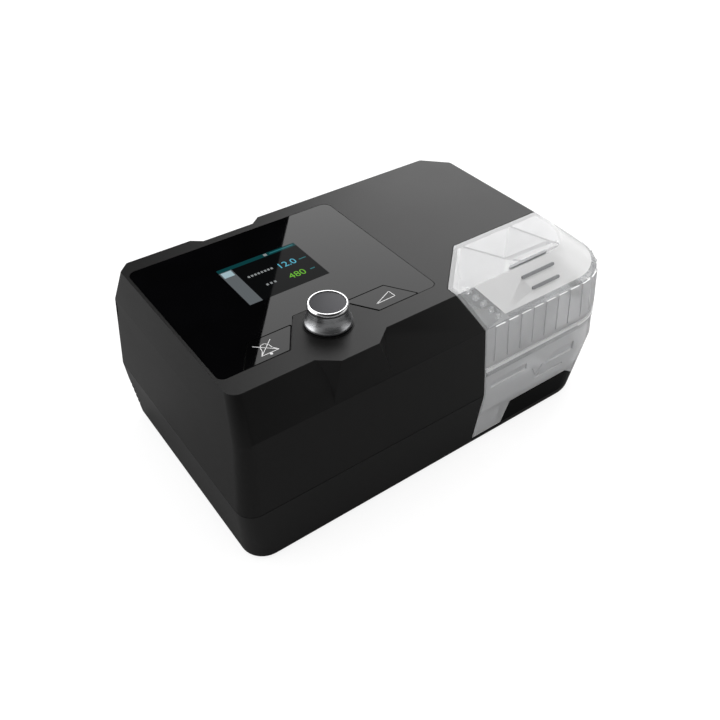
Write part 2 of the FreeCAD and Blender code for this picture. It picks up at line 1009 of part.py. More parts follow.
def louvre_cover():
    """Corner cover with horizontal air slots that wrap round from the back to the left."""
    hollow = base_form(wall).common(louvre_space(-wall))
    piece = without(base_form().common(louvre_space(0.0)), [hollow, hollow.translated(Vector(0, -wall, 0))])
    low = bottom_z + louvre_bottom_height + louvre_edge
    pitch = (louvre_top_height - louvre_bottom_height - 2 * louvre_edge + louvre_slot / 2) / louvre_count
    middle = (seam_left + louvre_right_x) / 2
    keep = block(middle - louvre_bar / 2, middle + louvre_bar / 2, 0, case_depth, 0, seam_z)
    for i in range(louvre_count):
        z = low + i * pitch
        slot = block(
            seam_left - overrun,
            louvre_right_x - louvre_edge - wall,
            louvre_front_y + louvre_edge + wall,
            seam_back + overrun,
            z,
            z + louvre_slot,
        )
        piece = piece.cut(slot.cut(keep))
    return piece


def rubber_feet():
    return Part.makeCompound([rod(foot_radius, x, y, 0, bottom_z + foot_recess) for x, y in foot_places])


def case_screws():
    seat = bottom_z + screw_seat_height
    pieces = []
    for x, y in post_places:
        head = rod(screw_head_radius, x, y, seat - screw_head_height, seat)
        pieces.append(joined([head, rod(screw_radius, x, y, seat, seat + screw_length)]))
    return Part.makeCompound(pieces)


# ---------------------------------------------------------------- control panel pieces
def display_glass():
    glass = prism(glass_corners(0.0), top_z - glass_thickness, top_z)
    return without(glass, [prism(key_corners(side, panel_gap), 0, top_z + overrun) for side in (-1, 1)])


def screen_module():
    """Metal-framed display with its active area a little below the frame."""
    high = top_z - glass_thickness
    frame = screen_block(screen_frame, high - screen_thickness, high)
    return frame.cut(screen_block(0.0, high - screen_sink, high + bond))


def panel_key(side):
    return prism(key_corners(side, 0.0), top_z - glass_thickness, top_z)


def key_post(side):
    """Post from the key down to its switch on the main board."""
    x, y = key_centre(side)
    low = main_board_z + switch_height + key_travel + switch_slack
    return rod(key_post_radius, x, y, low, top_z - glass_thickness)


def main_board():
    back = main_board_front_y + main_board_depth
    points = plan(main_board_left_x, main_board_right_x, main_board_front_y, back)
    return prism(evenly(points, board_corner), main_board_z - board_thickness, main_board_z)


def key_switches():
    pieces = []
    half = switch_size / 2
    body_high = main_board_z + switch_height - switch_stem_height
    for side in (-1, 1):
        x, y = key_centre(side)
        body = block(x - half, x + half, y - half, y + half, main_board_z, body_high)
        stem = rod(switch_stem_radius, x, y, body_high, main_board_z + switch_height)
        pieces.append(joined([body, stem]))
    return Part.makeCompound(pieces)


def dial_encoder():
    """Square encoder body whose collar guides the dial's sleeve."""
    half = encoder_size / 2
    high = main_board_z + encoder_height
    body = block(panel_x - half, panel_x + half, dial_y - half, dial_y + half, main_board_z, high)
    collar_radius = sleeve_radius + sleeve_bore_gap - seat_gap / 2
    collar = rod(collar_radius, panel_x, dial_y, high, ceiling_z + top_wall / 2)
    bore = rod(sleeve_radius + shaft_clearance, panel_x, dial_y, main_board_z + encoder_floor, top_z)
    return joined([body, collar]).cut(bore)


def shaft_low_z():
    return main_board_z + encoder_floor + dial_travel + dial_float


def dial_sleeve():
    """Sleeve that is pressed down with the dial and doesn't turn."""
    bore = shaft_radius + shaft_clearance
    return tube(sleeve_radius, bore, panel_x, dial_y, shaft_low_z(), top_z + sleeve_rise)


def dial_shaft():
    return rod(shaft_radius, panel_x, dial_y, shaft_low_z(), dial_top_z - dial_ring_height - bond)


def dial_bezel():
    """Thin dark ring on the casing round the foot of the dial."""
    inner = sleeve_radius + sleeve_bore_gap
    return tube(dial_bezel_radius, inner, panel_x, dial_y, top_z, top_z + dial_bezel_height)


def dial_body():
    """Skirted grip: straight rim, hollow flank and a straight neck under the ring."""
    rim = dial_low_z + dial_rim_height
    high = dial_top_z - dial_ring_height
    neck = high - dial_neck_height
    middle = Vector(dial_waist_radius + dial_flank_bulge, 0, between(rim, neck, dial_flank_share))
    flank = Part.Arc(Vector(dial_skirt_radius, 0, rim), middle, Vector(dial_waist_radius, 0, neck))
    edges = [
        line((shaft_radius, dial_low_z), (dial_skirt_radius, dial_low_z)),
        line((dial_skirt_radius, dial_low_z), (dial_skirt_radius, rim)),
        flank.toShape(),
        line((dial_waist_radius, neck), (dial_waist_radius, high)),
        line((dial_waist_radius, high), (shaft_radius, high)),
        line((shaft_radius, high), (shaft_radius, dial_low_z)),
    ]
    sleeve_room = top_z + sleeve_rise + dial_travel + seat_gap
    room = rod(sleeve_radius + slide_gap, panel_x, dial_y, dial_low_z - bond, sleeve_room)
    return turned(edges, panel_x, dial_y).cut(room)


def dial_ring():
    """Polished ring round the dial's top, bevelled inside and outside."""
    low = dial_top_z - dial_ring_height
    inner = dial_ring_radius - dial_ring_width
    bevel = dial_ring_bevel
    points = [
        (inner, low),
        (dial_ring_radius - bevel, low),
        (dial_ring_radius, low + bevel),
        (dial_ring_radius, dial_top_z - bevel),
        (dial_ring_radius - bevel, dial_top_z),
        (inner + bevel, dial_top_z),
        (inner, dial_top_z - bevel),
    ]
    return turned(ring_of_lines(points), panel_x, dial_y)


def dial_cap():
    low = dial_top_z - dial_ring_height
    return rod(dial_ring_radius - dial_ring_width, panel_x, dial_y, low, low + dial_cap_thickness)


def alarm_buzzer():
    low = main_board_z - board_thickness - buzzer_height
    x = main_board_left_x + buzzer_margin
    return rod(buzzer_radius, x, blower_y + 2 * buzzer_radius, low, low + buzzer_height)


def display_connector():
    """Socket on the main board that takes the screen's flat cable."""
    half = connector_width / 2
    y = screen_front_y + screen_height + screen_frame + connector_depth / 2
    high = main_board_z + connector_height
    return block(panel_x - half, panel_x + half, y, y + connector_depth, main_board_z, high)


# ---------------------------------------------------------------- water chamber
def rim_ring(z_low, z_high, front, right):
    """Flange round the chamber at its joint."""
    front_y = front_face_y(z_low) - front
    corners = [
        (bay_left_x - bay_length / 4, front_y, 0.0),
        (seam_right + right, front_y, crease_round + right),
        (seam_right + right, bay_back_y, 0.0),
        (bay_left_x - bay_length / 4, bay_back_y, 0.0),
    ]
    return prism(corners, z_low, z_high)


def chamber_outer():
    """Outer form of lid and tub together, inside the bay."""
    return upper_form().fuse(base_form()).common(bay_form(0.0))


def chamber_inner(inset):
    """Hollow of lid and tub, a wall inside their outer form."""
    return upper_form(inset, top_z - inset).fuse(base_form(inset)).common(bay_form(-inset))


def plate_block(margin, z_low, z_high):
    """Block over the outline of the tub's heat plate, grown by margin."""
    return block(
        tub_plate_x - tub_plate_width / 2 - margin,
        tub_plate_x + tub_plate_width / 2 + margin,
        tub_plate_y - tub_plate_depth / 2 - margin,
        tub_plate_y + tub_plate_depth / 2 + margin,
        z_low,
        z_high,
    )


def finger_recess():
    """Long shallow recess on the left half of the tub's front wall."""
    low = bottom_z + recess_low
    x = bay_left_x + recess_offset
    floor_y = front_face_y(low) + recess_sink
    return block(x, x + recess_length, seam_front - overrun, floor_y, low, low + recess_height)


def finger_slot():
    """Deeper grip slot on the right half of the tub's front wall, with a slanted right end."""
    low = bottom_z + slot_low
    x = bay_left_x + slot_offset
    floor_y = seam_front + slot_sink
    outline = [
        (x, low),
        (x + slot_length, low),
        (x + slot_length, low + slot_height),
        (x + slot_height, low + slot_height),
    ]
    return front_prism(outline, seam_front - overrun, floor_y)


def tab_grooves():
    """V-shaped groove between the recess and the slot, with a groove that runs to the right."""
    high = bottom_z + tab_top
    low = high - tab_height
    left = bay_left_x + tab_offset
    middle = left + tab_width / 2
    right = left + tab_width
    arm = tab_line
    vee = [
        (left, high),
        (left + arm, high),
        (middle, low + arm * 2),
        (right - arm, high),
        (right, high),
        (middle + arm / 2, low),
        (middle - arm / 2, low),
    ]
    run = [
        (middle, low),
        (middle + slot_length, low),
        (middle + slot_length, low + arm),
        (middle, low + arm),
    ]
    floor_y = front_face_y(seam_z) + tab_sink
    return [front_prism(points, seam_front - overrun, floor_y) for points in (vee, run)]


def chamber_tub():
    """Open tub that stands astride the heel, with its rim, its leg and its grips."""
    outer = chamber_outer().common(slab(0, joint_z)).cut(under_tray(slide_gap + heater_rise))
    rim = rim_ring(joint_z - rim_height, joint_z, rim_front_overhang, rim_overhang).common(bay_form(0.0))
    water = chamber_inner(tub_wall).common(slab(tub_floor_z + tub_wall, case_height))
    leg_room = block(
        bay_left_x - leg_wall / 2,
        heel_left_x - leg_wall,
        seam_front + leg_setback,
        bay_back_y - bay_cut - leg_wall,
        0,
        heel_z,
    )
    cuts = [
        water,
        leg_room,
        plate_block(0.0, 0, tub_floor_z + tub_plate_thickness),
        plate_block(-tub_plate_edge, 0, tub_floor_z + 2 * tub_wall),
        finger_recess(),
        finger_slot(),
    ]
    return without(joined([outer, rim]), cuts + tab_grooves())


def chamber_heat_plate():
    """Metal plate let into the underside of the tub's floor."""
    return plate_block(0.0, tub_floor_z, tub_floor_z + tub_plate_thickness)


def lid_shell():
    """Bare lid: outer form less its hollow, with the flange at its foot."""
    low = joint_z + seal_gap
    outer = chamber_outer().common(slab(low, top_z))
    flange = rim_ring(low, joint_z + lid_flange_thickness, rim_front_overhang, rim_overhang - lid_flange_step)
    return joined([outer, flange.common(bay_form(0.0))]).cut(chamber_inner(lid_wall))


def grip_bar(i):
    """Low rounded bar along X; the first lies on the top face, the others on the slope."""
    x_low = bay_left_x + grip_offset + i * grip_shift
    x_high = x_low + grip_length - i * grip_shrink
    half = grip_width / 2
    bar = prism(evenly(plan(x_low, x_high, -half, half), half * grip_end_share), -grip_rise, grip_rise)
    along = grip_start + i * grip_pitch
    if along < 0:
        return bar.translated(Vector(0, top_front - along, top_z))
    slope = math.atan2(top_z - crease_z, top_inset_front - crease_inset_front)
    bar.rotate(Vector(0, 0, 0), Vector(1, 0, 0), math.degrees(slope))
    return bar.translated(Vector(0, top_front - along * math.cos(slope), top_z - along * math.sin(slope)))


def skirt_point(along, z, rise):
    """Point on the lid's skirt at a distance from the bay's left edge, raised from the surface."""
    share = (z - seam_z) / (crease_z - seam_z)
    radius = between(seam_round, crease_round, share)
    straight = seam_right - crease_round - bay_left_x
    bend = crease_round * math.pi / 2
    front_y = front_face_y(z)
    if along <= straight:
        return Vector(bay_left_x + along, front_y - rise, z)
    if along >= straight + bend:
        return Vector(seam_right + rise, front_y + radius + along - straight - bend, z)
    angle = (along - straight) / crease_round
    reach = radius + rise
    return Vector(seam_right - radius + reach * math.sin(angle), front_y + radius - reach * math.cos(angle), z)


def flutes():
    """Raised flutes round the lid's skirt, from the front over the corner to the right side."""
    low = joint_z + lid_flange_thickness + flute_foot_gap
    straight = seam_right - crease_round - bay_left_x
    length = straight + crease_round * math.pi / 2 + bay_depth - crease_inset_front - crease_round
    pieces = []
    for i in range(int((length - flute_start) / flute_pitch)):
        start = flute_start + i * flute_pitch
        end = start + flute_width
        wires = []
        for z in (low, crease_z):
            corners = [
                skirt_point(start, z, -lid_wall / 2),
                skirt_point(start, z, flute_rise),
                skirt_point(end, z, flute_rise),
                skirt_point(end, z, -lid_wall / 2),
            ]
            wires.append(Part.makePolygon(corners + corners[:1]))
        pieces.append(Part.makeLoft(wires, True, True))
    return pieces


def slope_teeth():
    """Row of small blocks behind the slope, beside the bay's left edge."""
    pieces = []
    for i in range(tooth_count):
        share = (i + 0.5) / tooth_count
        z = between(top_z, crease_z, share)
        x = bay_left_x + bay_shift(z) + between(tooth_offset_top, tooth_offset_bottom, share)
        y = slope_y(z)
        back = y + lid_wall + tooth_depth
        low = z - tooth_height / 2
        pieces.append(block(x, x + tooth_width, y + lid_wall / 2, back, low, low + tooth_height))
    return pieces


def air_channel():
    """Walls under the lid's roof: the air channel at the back and the baffle in front of it."""
    left = inlet_port_x - port_radius
    right = outlet_port_x - port_radius
    back = bay_back_y
    fold = top_front + lid_wall
    high = top_z - lid_wall + bond
    elbow_left = (left + channel_lean, back - channel_depth)
    elbow_right = (right, back - channel_depth - channel_slant)
    channel = [(left - channel_flare_left, back), elbow_left, elbow_right, (right - channel_flare_right, back)]
    baffle = [elbow_left, (left + baffle_taper_left, fold), (right + baffle_spread_right, fold), elbow_right]
    inside = chamber_inner(lid_wall - bond)
    walls = []
    for points, low in ((channel, high - 2 * baffle_drop - port_radius), (baffle, high - baffle_drop)):
        wire = rounded_wire(sharp(points), low)
        face = Part.Face(wire)
        ring = face.cut(Part.Face(wire.makeOffset2D(-baffle_wall)))
        walls.append(ring.extrude(Vector(0, 0, high - low)).common(inside))
    return walls


def chamber_lid():
    """Clear lid with grips, flutes, teeth, the air channel, the baffle and two air ports."""
    grips = [grip_bar(i) for i in range(grip_count)]
    lid = joined([lid_shell()] + grips + flutes() + slope_teeth() + air_channel())
    ports = []
    for x in (inlet_port_x, outlet_port_x):
        ports.append(rod_back(port_radius, x, port_z, bay_back_y - overrun, bay_back_y + bond))
    return without(lid, ports)


def lid_seal():
    """Soft ring in the joint just inside the walls."""
    low = joint_z - seal_depth
    band = slab(low, low + seal_height)
    outer = chamber_inner(tub_wall + seal_gap).common(band)
    return outer.cut(chamber_inner(tub_wall + seal_gap + seal_thickness))


def port_seal(x):
    """Soft ring in the bay's back wall round one air port."""
    return tube_back(port_radius + port_seal_width, port_radius, x, port_z, bay_back_y + seal_gap, bay_wall_back_y)


# ---------------------------------------------------------------- heater
def heater_plate():
    high = heel_z + heater_rise
    return heater_block(0.0, high - heater_thickness, high)


def heater_tray():
    """Insulating tray that carries the springs in the heel."""
    low = heel_z - heater_pocket
    return heater_block(0.0, low, low + heater_tray_thickness)


def heater_springs():
    """Closed outer forms of the four springs under the plate."""
    low = heel_z - heater_pocket + heater_tray_thickness
    high = heel_z + heater_rise - heater_thickness
    pieces = []
    for dx in (-1, 1):
        for dy in (-1, 1):
            x = tub_plate_x + dx * (heater_width / 2 - spring_inset)
            y = tub_plate_y + dy * (heater_depth / 2 - spring_inset)
            pieces.append(tube(spring_radius, spring_radius - spring_wire, x, y, low, high))
    return Part.makeCompound(pieces)


# ---------------------------------------------------------------- air path
def scroll(inset, z_low, z_high):
    """Blower scroll: a spiral of four growing quarter rounds that runs out into a throat."""
    centre = Vector(blower_x, blower_y, z_low)
    point = centre + Vector(0, volute_radius - 4 * volute_growth - inset, 0)
    heading = Vector(1, 0, 0)
    edges = []
    start = point
    for i in range(4):
        radius = volute_radius - (4 - i) * volute_growth - inset
        inward = Vector(heading.y, -heading.x, 0)
        middle = point + inward * radius
        end = middle + heading * radius
        half_way = middle + (heading - inward) * (radius * math.sqrt(0.5))
        edges.append(Part.Arc(point, half_way, end).toShape())
        point = end
        heading = inward
    edges.append(Part.makeLine(point, start))
    spiral = Part.Face(Part.Wire(edges)).extrude(Vector(0, 0, z_high - z_low))
    far_x = duct_start_x + inset
    throat = block(blower_x, far_x, point.y - 2 * duct_radius + 2 * inset, point.y, z_low, z_high)
    return joined([spiral, throat])


def blower_lower():
    body = scroll(0.0, volute_low_z, port_z)
    eye = rod(eye_radius, blower_x, blower_y, volute_low_z - bond, volute_low_z + volute_wall + bond)
    return without(body, [scroll(volute_wall, volute_low_z + volute_wall, port_z), eye])


def blower_upper():
    body = scroll(0.0, port_z, volute_high_z)
    hole = rod(rotor_radius + seat_gap, blower_x, blower_y, port_z, volute_high_z + bond)
    return without(body, [scroll(volute_wall, port_z, volute_high_z - volute_wall), hole])


def blower_motor():
    high = volute_high_z + motor_height
    can = rod(motor_radius, blower_x, blower_y, volute_high_z, high)
    return can.cut(rod(rotor_radius + rotor_clearance, blower_x, blower_y, volute_high_z - bond, high - motor_end))


def blade(i):
    """One backward-curved blade between the hub and the disc's edge."""
    low = port_z + impeller_drop - impeller_height
    high = port_z + impeller_drop + disc_thickness / 2
    start = hub_radius - bond
    end = math.sqrt((impeller_radius - bond) ** 2 - blade_sweep**2)
    shift = Vector(0, blade_thickness, 0)
    points = [
        Vector(start, 0, low),
        Vector((start + end) / 2, blade_bow - blade_sweep / 2, low),
        Vector(end, -blade_sweep, low),
    ]
    back = Part.Arc(points[0], points[1], points[2]).toShape()
    face = Part.Arc(points[2] + shift, points[1] + shift, points[0] + shift).toShape()
    sides = [back, Part.makeLine(points[2], points[2] + shift), face, Part.makeLine(points[0] + shift, points[0])]
    solid = Part.Face(Part.Wire(sides)).extrude(Vector(0, 0, high - low))
    solid.rotate(Vector(0, 0, 0), UP, 360.0 * i / blade_count)
    return solid.translated(Vector(blower_x, blower_y, 0))


def impeller():
    """Backing disc, hub and curved blades."""
    low = port_z + impeller_drop
    disc = rod(impeller_radius, blower_x, blower_y, low, low + disc_thickness)
    hub = rod(hub_radius, blower_x, blower_y, low - impeller_height, low + disc_thickness)
    wheel = joined([disc, hub] + [blade(i) for i in range(blade_count)])
    return wheel.cut(rod(rotor_radius, blower_x, blower_y, 0, case_height))


def rotor_shaft():
    low = port_z + impeller_drop - impeller_height
    high = volute_high_z + motor_height - motor_end - dial_float
    return rod(rotor_radius, blower_x, blower_y, low, high)


def blower_mounts():
    """Soft pillars between the muffler and the blower."""
    reach = eye_radius + boot_wall + mount_ring_gap + mount_radius
    pieces = []
    for i in range(4):
        angle = math.radians(45 + 90 * i)
        x = blower_x + reach * math.cos(angle)
        y = blower_y + reach * math.sin(angle)
        pieces.append(rod(mount_radius, x, y, muffler_high_z, volute_low_z))
    return Part.makeCompound(pieces)


def intake_boot():
    return tube(eye_radius + boot_wall, eye_radius, blower_x, blower_y, muffler_high_z, volute_low_z)


def muffler_block(inset, extra_top):
    return block(
        muffler_left_x + inset,
        muffler_right_x - inset,
        muffler_front_y + inset,
        muffler_back_y - inset,
        floor_z + inset,
        muffler_high_z - inset + extra_top,
    )


def muffler_box():
    """Box on the floor that the air passes through before it reaches the blower."""
    eye = rod(eye_radius, blower_x, blower_y, muffler_high_z - overrun, muffler_high_z + bond)
    return without(muffler_block(0.0, 0.0), [muffler_block(muffler_wall, 0.0), filter_window(-muffler_wall / 2), eye])


def muffler_foam():
    """Foam lining with a channel from the intake window to the blower's eye."""
    low = floor_z + muffler_wall + foam_lining
    high = muffler_high_z - muffler_wall - 2 * foam_lining
    left = filter_left_x + foam_lining
    front = blower_y - foam_channel_length
    right = filter_right_x - foam_lining
    channel = block(left, right, front, muffler_back_y, low, high)
    turn = block(left, blower_x + eye_radius, front, blower_y + eye_radius, low, high)
    eye = rod(eye_radius + bond, blower_x, blower_y, low, muffler_high_z)
    return without(muffler_block(muffler_wall, 0.0), [channel, turn, eye])


def inlet_filter():
    """Pleated filter element, here its closed outer form, in the window behind the louvres."""
    low_y = muffler_back_y + seal_gap
    return block(
        filter_left_x,
        filter_right_x,
        low_y,
        low_y + filter_thickness,
        filter_low_z,
        filter_low_z + filter_height,
    )


def bent_tube(points, outer, inner):
    """Round tube along a polyline with mitred bends, starting along X."""
    path = Part.makePolygon(points)
    along = Vector(1, 0, 0)
    skins = []
    for radius in (outer, inner):
        profile = Part.Wire([Part.makeCircle(radius, points[0], along)])
        skins.append(path.makePipeShell([profile], True, False, 1))
    return skins[0].cut(skins[1])


def air_duct():
    """Mitred tube from the blower's outlet to the chamber's inlet port."""
    points = [
        Vector(duct_start_x, duct_y, port_z),
        Vector(inlet_port_x - duct_bend, duct_y, port_z),
        Vector(inlet_port_x, duct_y - duct_bend, port_z),
        Vector(inlet_port_x, bay_wall_back_y, port_z),
    ]
    return bent_tube(points, duct_radius, duct_radius - duct_wall)


def outlet_duct():
    """Straight tube from the chamber's outlet port to the hose connector."""
    high = well_floor_y - outlet_well_floor
    return tube_back(duct_radius, duct_radius - duct_wall, outlet_port_x, port_z, bay_wall_back_y, high)


def outlet_well():
    """Round well let into the back wall."""
    low = well_floor_y - outlet_well_floor
    cup = rod_back(outlet_well_radius + outlet_well_wall, outlet_port_x, port_z, low, seam_back)
    hollow = rod_back(outlet_well_radius, outlet_port_x, port_z, well_floor_y, seam_back + overrun)
    hole = rod_back(duct_radius - duct_wall, outlet_port_x, port_z, low - bond, seam_back)
    return without(cup, [hollow, hole])


def hose_connector():
    """Standard spigot for a breathing hose, standing in the well."""
    high = well_floor_y + connector_length
    return tube_back(connector_radius, duct_radius - duct_wall, outlet_port_x, port_z, well_floor_y, high)


def flow_sensor():
    """Sensor block saddled on the outlet duct."""
    middle = (bay_wall_back_y + well_floor_y) / 2
    body = block(
        outlet_port_x - sensor_width / 2,
        outlet_port_x + sensor_width / 2,
        middle - sensor_length / 2,
        middle + sensor_length / 2,
        port_z + duct_radius - sensor_saddle,
        port_z + duct_radius + sensor_height,
    )
    return body.cut(rod_back(duct_radius, outlet_port_x, port_z, bay_wall_back_y, well_floor_y))


# ---------------------------------------------------------------- power side
def power_board():
    points = plan(power_board_left_x, power_board_right_x, power_board_front_y, power_board_back_y)
    return prism(evenly(points, board_corner / 2), power_board_z, power_top_z)


def power_parts():
    """Capacitors, coil and heat sink on the power board."""
    y = power_board_front_y + power_board_depth * power_parts_share
    first = power_board_left_x + 2 * capacitor_radius
    coil_x = first + 2 * capacitor_radius + 3 * coil_radius
    sink_x = power_board_right_x - sink_width - board_post_inset
    pieces = []
    for i in range(2):
        x = first + i * capacitor_pitch
        pieces.append(rod(capacitor_radius, x, y, power_top_z, power_top_z + capacitor_height))
    pieces.append(tube(coil_radius, coil_bore, coil_x, y, power_top_z, power_top_z + coil_height))
    low_y = y - sink_depth / 2
    pieces.append(block(sink_x, sink_x + sink_width, low_y, low_y + sink_depth, power_top_z, power_top_z + sink_height))
    return Part.makeCompound(pieces)


def jack_face_y():
    return back_face_y(power_jack_z) - panel_gap


def power_jack():
    """Low-voltage power socket: a square body with a round barrel in the back wall."""
    low_y = power_board_back_y - power_jack_depth
    front_y = power_board_back_y - seat_gap
    body = block(
        power_jack_x - power_jack_width / 2,
        power_jack_x + power_jack_width / 2,
        low_y,
        front_y,
        power_top_z,
        power_top_z + power_jack_height,
    )
    barrel = rod_back(power_jack_barrel, power_jack_x, power_jack_z, front_y, jack_face_y())
    bore = rod_back(power_jack_radius, power_jack_x, power_jack_z, low_y + wall, case_depth)
    return joined([body, barrel]).cut(bore)


def power_pin():
    """Centre contact of the power jack."""
    low_y = power_board_back_y - power_jack_depth + wall
    return rod_back(power_pin_radius, power_jack_x, power_jack_z, low_y, jack_face_y() - power_pin_radius)


def data_port():
    """Small rectangular data socket with its tongue."""
    half = data_port_width / 2
    shell = data_port_shell
    high_y = back_face_y(power_top_z) - wall - seat_gap
    low_y = high_y - data_port_depth
    low = power_top_z
    high = low + data_port_height
    middle = (low + high) / 2
    body = block(data_port_x - half, data_port_x + half, low_y, high_y, low, high)
    mouth = block(data_port_x - half + shell, data_port_x + half - shell, low_y + shell, case_depth, low + shell, high - shell)
    tongue = block(
        data_port_x - half + 2 * shell,
        data_port_x + half - 2 * shell,
        low_y + shell / 2,
        high_y - shell,
        middle - data_tongue / 2,
        middle + data_tongue / 2,
    )
    return joined([body.cut(mouth), tongue])


def card_low_y():
    return back_face_y(power_top_z) + card_reach - card_length


def card_socket():
    """Flat sleeve on the power board that holds the memory card."""
    half = card_width / 2 + seat_gap
    low_y = card_low_y() - wall
    high_y = low_y + socket_depth
    high = power_top_z + card_thickness + 2 * seat_gap + socket_shell * 2
    outer = block(card_slot_x - half - wall, card_slot_x + half + wall / 2, low_y, high_y, power_top_z, high)
    room = block(
        card_slot_x - half,
        card_slot_x + half,
        low_y + wall / 2,
        case_depth,
        power_top_z + socket_shell,
        high - socket_shell,
    )
    return outer.cut(room)


def memory_card():
    """Full-size memory card with its cut corner, reaching a little way out of the back."""
    half = card_width / 2
    low_y = card_low_y()
    corners = [
        (card_slot_x - half, low_y),
        (card_slot_x + half - card_notch, low_y),
        (card_slot_x + half, low_y + card_notch),
        (card_slot_x + half, low_y + card_length),
        (card_slot_x - half, low_y + card_length),
    ]
    low = power_top_z + socket_shell + seat_gap / 2
    return prism(sharp(corners), low, low + card_thickness)


def build():
    save("top_casing", top_casing())
    save("base_casing", base_casing())
    save("louvre_cover", louvre_cover())
    save("rubber_feet", rubber_feet())
    save("case_screws", case_screws())
    save("display_glass", display_glass())
    save("screen_module", screen_module())
    save("main_board", main_board())
    save("key_switches", key_switches())
    save("display_connector", display_connector())
    save("alarm_buzzer", alarm_buzzer())
    save("mute_key", panel_key(-1))
    save("mute_key_post", key_post(-1))
    save("ramp_key", panel_key(1))
    save("ramp_key_post", key_post(1))
    save("dial_encoder", dial_encoder())
    save("dial_sleeve", dial_sleeve())
    save("dial_shaft", dial_shaft())
    save("dial_bezel", dial_bezel())
    save("dial_body", dial_body())
    save("dial_ring", dial_ring())
    save("dial_cap", dial_cap())
    save("chamber_tub", chamber_tub())
    save("chamber_heat_plate", chamber_heat_plate())
    save("chamber_lid", chamber_lid())
    save("lid_seal", lid_seal())
    save("inlet_seal", port_seal(inlet_port_x))
    save("outlet_seal", port_seal(outlet_port_x))
    save("heater_plate", heater_plate())
    save("heater_tray", heater_tray())
    save("heater_springs", heater_springs())
    save("blower_lower", blower_lower())
    save("blower_upper", blower_upper())
    save("blower_motor", blower_motor())
    save("impeller", impeller())
    save("rotor_shaft", rotor_shaft())
    save("blower_mounts", blower_mounts())
    save("intake_boot", intake_boot())
    save("muffler_box", muffler_box())
    save("muffler_foam", muffler_foam())
    save("inlet_filter", inlet_filter())
    save("air_duct", air_duct())
    save("outlet_duct", outlet_duct())
    save("outlet_well", outlet_well())
    save("hose_connector", hose_connector())
    save("flow_sensor", flow_sensor())
    save("power_board", power_board())
    save("power_parts", power_parts())
    save("power_jack", power_jack())
    save("power_pin", power_pin())
    save("data_port", data_port())
    save("card_socket", card_socket())
    save("memory_card", memory_card())


build()
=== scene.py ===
"""Looks of a bench-top CPAP machine with a clear water chamber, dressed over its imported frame."""

import math

import bmesh
import bpy
from mathutils import Matrix, Vector
from mathutils.bvhtree import BVHTree


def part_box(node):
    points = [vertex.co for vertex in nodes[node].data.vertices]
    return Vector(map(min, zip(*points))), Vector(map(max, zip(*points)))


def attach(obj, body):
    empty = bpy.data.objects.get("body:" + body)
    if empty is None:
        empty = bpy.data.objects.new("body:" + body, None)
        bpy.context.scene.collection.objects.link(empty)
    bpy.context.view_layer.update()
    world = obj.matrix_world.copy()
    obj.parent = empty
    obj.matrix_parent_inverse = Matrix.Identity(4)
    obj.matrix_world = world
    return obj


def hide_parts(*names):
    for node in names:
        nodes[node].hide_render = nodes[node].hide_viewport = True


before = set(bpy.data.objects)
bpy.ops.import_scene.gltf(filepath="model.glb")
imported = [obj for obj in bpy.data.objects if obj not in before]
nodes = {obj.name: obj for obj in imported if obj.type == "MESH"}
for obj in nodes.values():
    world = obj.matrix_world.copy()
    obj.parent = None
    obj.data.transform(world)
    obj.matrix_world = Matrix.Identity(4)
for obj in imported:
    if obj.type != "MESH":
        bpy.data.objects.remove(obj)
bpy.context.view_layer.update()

# ---------------------------------------------------------------- base casing
# The lower shell is injection-moulded ABS in black. The tool's cavity is spark-eroded, so the
# plastic has a fine matt grain, and the shell is screwed to the upper one from below.
MM = 0.001

# A Mix node takes its two colours at these inputs, and gives the mixed one at this output.
FIRST_COLOUR, SECOND_COLOUR, MIXED_COLOUR = 6, 7, 2

# Noise stays between about these two values.
NOISE_SPAN = {"From Min": 0.3, "From Max": 0.7}


def hex_colour(text):
    """Linear RGBA of an sRGB hex colour."""
    channels = [int(text[i : i + 2], 16) / 255 for i in (1, 3, 5)]
    linear = [c / 12.92 if c <= 0.04045 else ((c + 0.055) / 1.055) ** 2.4 for c in channels]
    return (*linear, 1.0)


def add(tree, kind, inputs=None, **settings):
    """Adds a node; an input is set to a value or linked to another node's output."""
    made = tree.nodes.new("ShaderNode" + kind)
    for name, value in settings.items():
        setattr(made, name, value)
    for name, value in (inputs or {}).items():
        socket = made.inputs[name]
        if isinstance(value, bpy.types.NodeSocket):
            tree.links.new(value, socket)
        else:
            socket.default_value = value
    return made


def start_material(name):
    """Empty node material, and the coordinates of the object that wears it."""
    made = bpy.data.materials.new(name)
    made.use_nodes = True
    tree = made.node_tree
    tree.nodes.clear()
    return made, tree, add(tree, "TexCoord").outputs["Object"]


def scale_of(size_mm):
    """Scale at which a pattern's features have a real size."""
    return 1 / (size_mm * MM)


def between(share, low, high):
    """What a Mix node is given to go from one hex colour to another."""
    return {"Factor": share, FIRST_COLOUR: hex_colour(low), SECOND_COLOUR: hex_colour(high)}


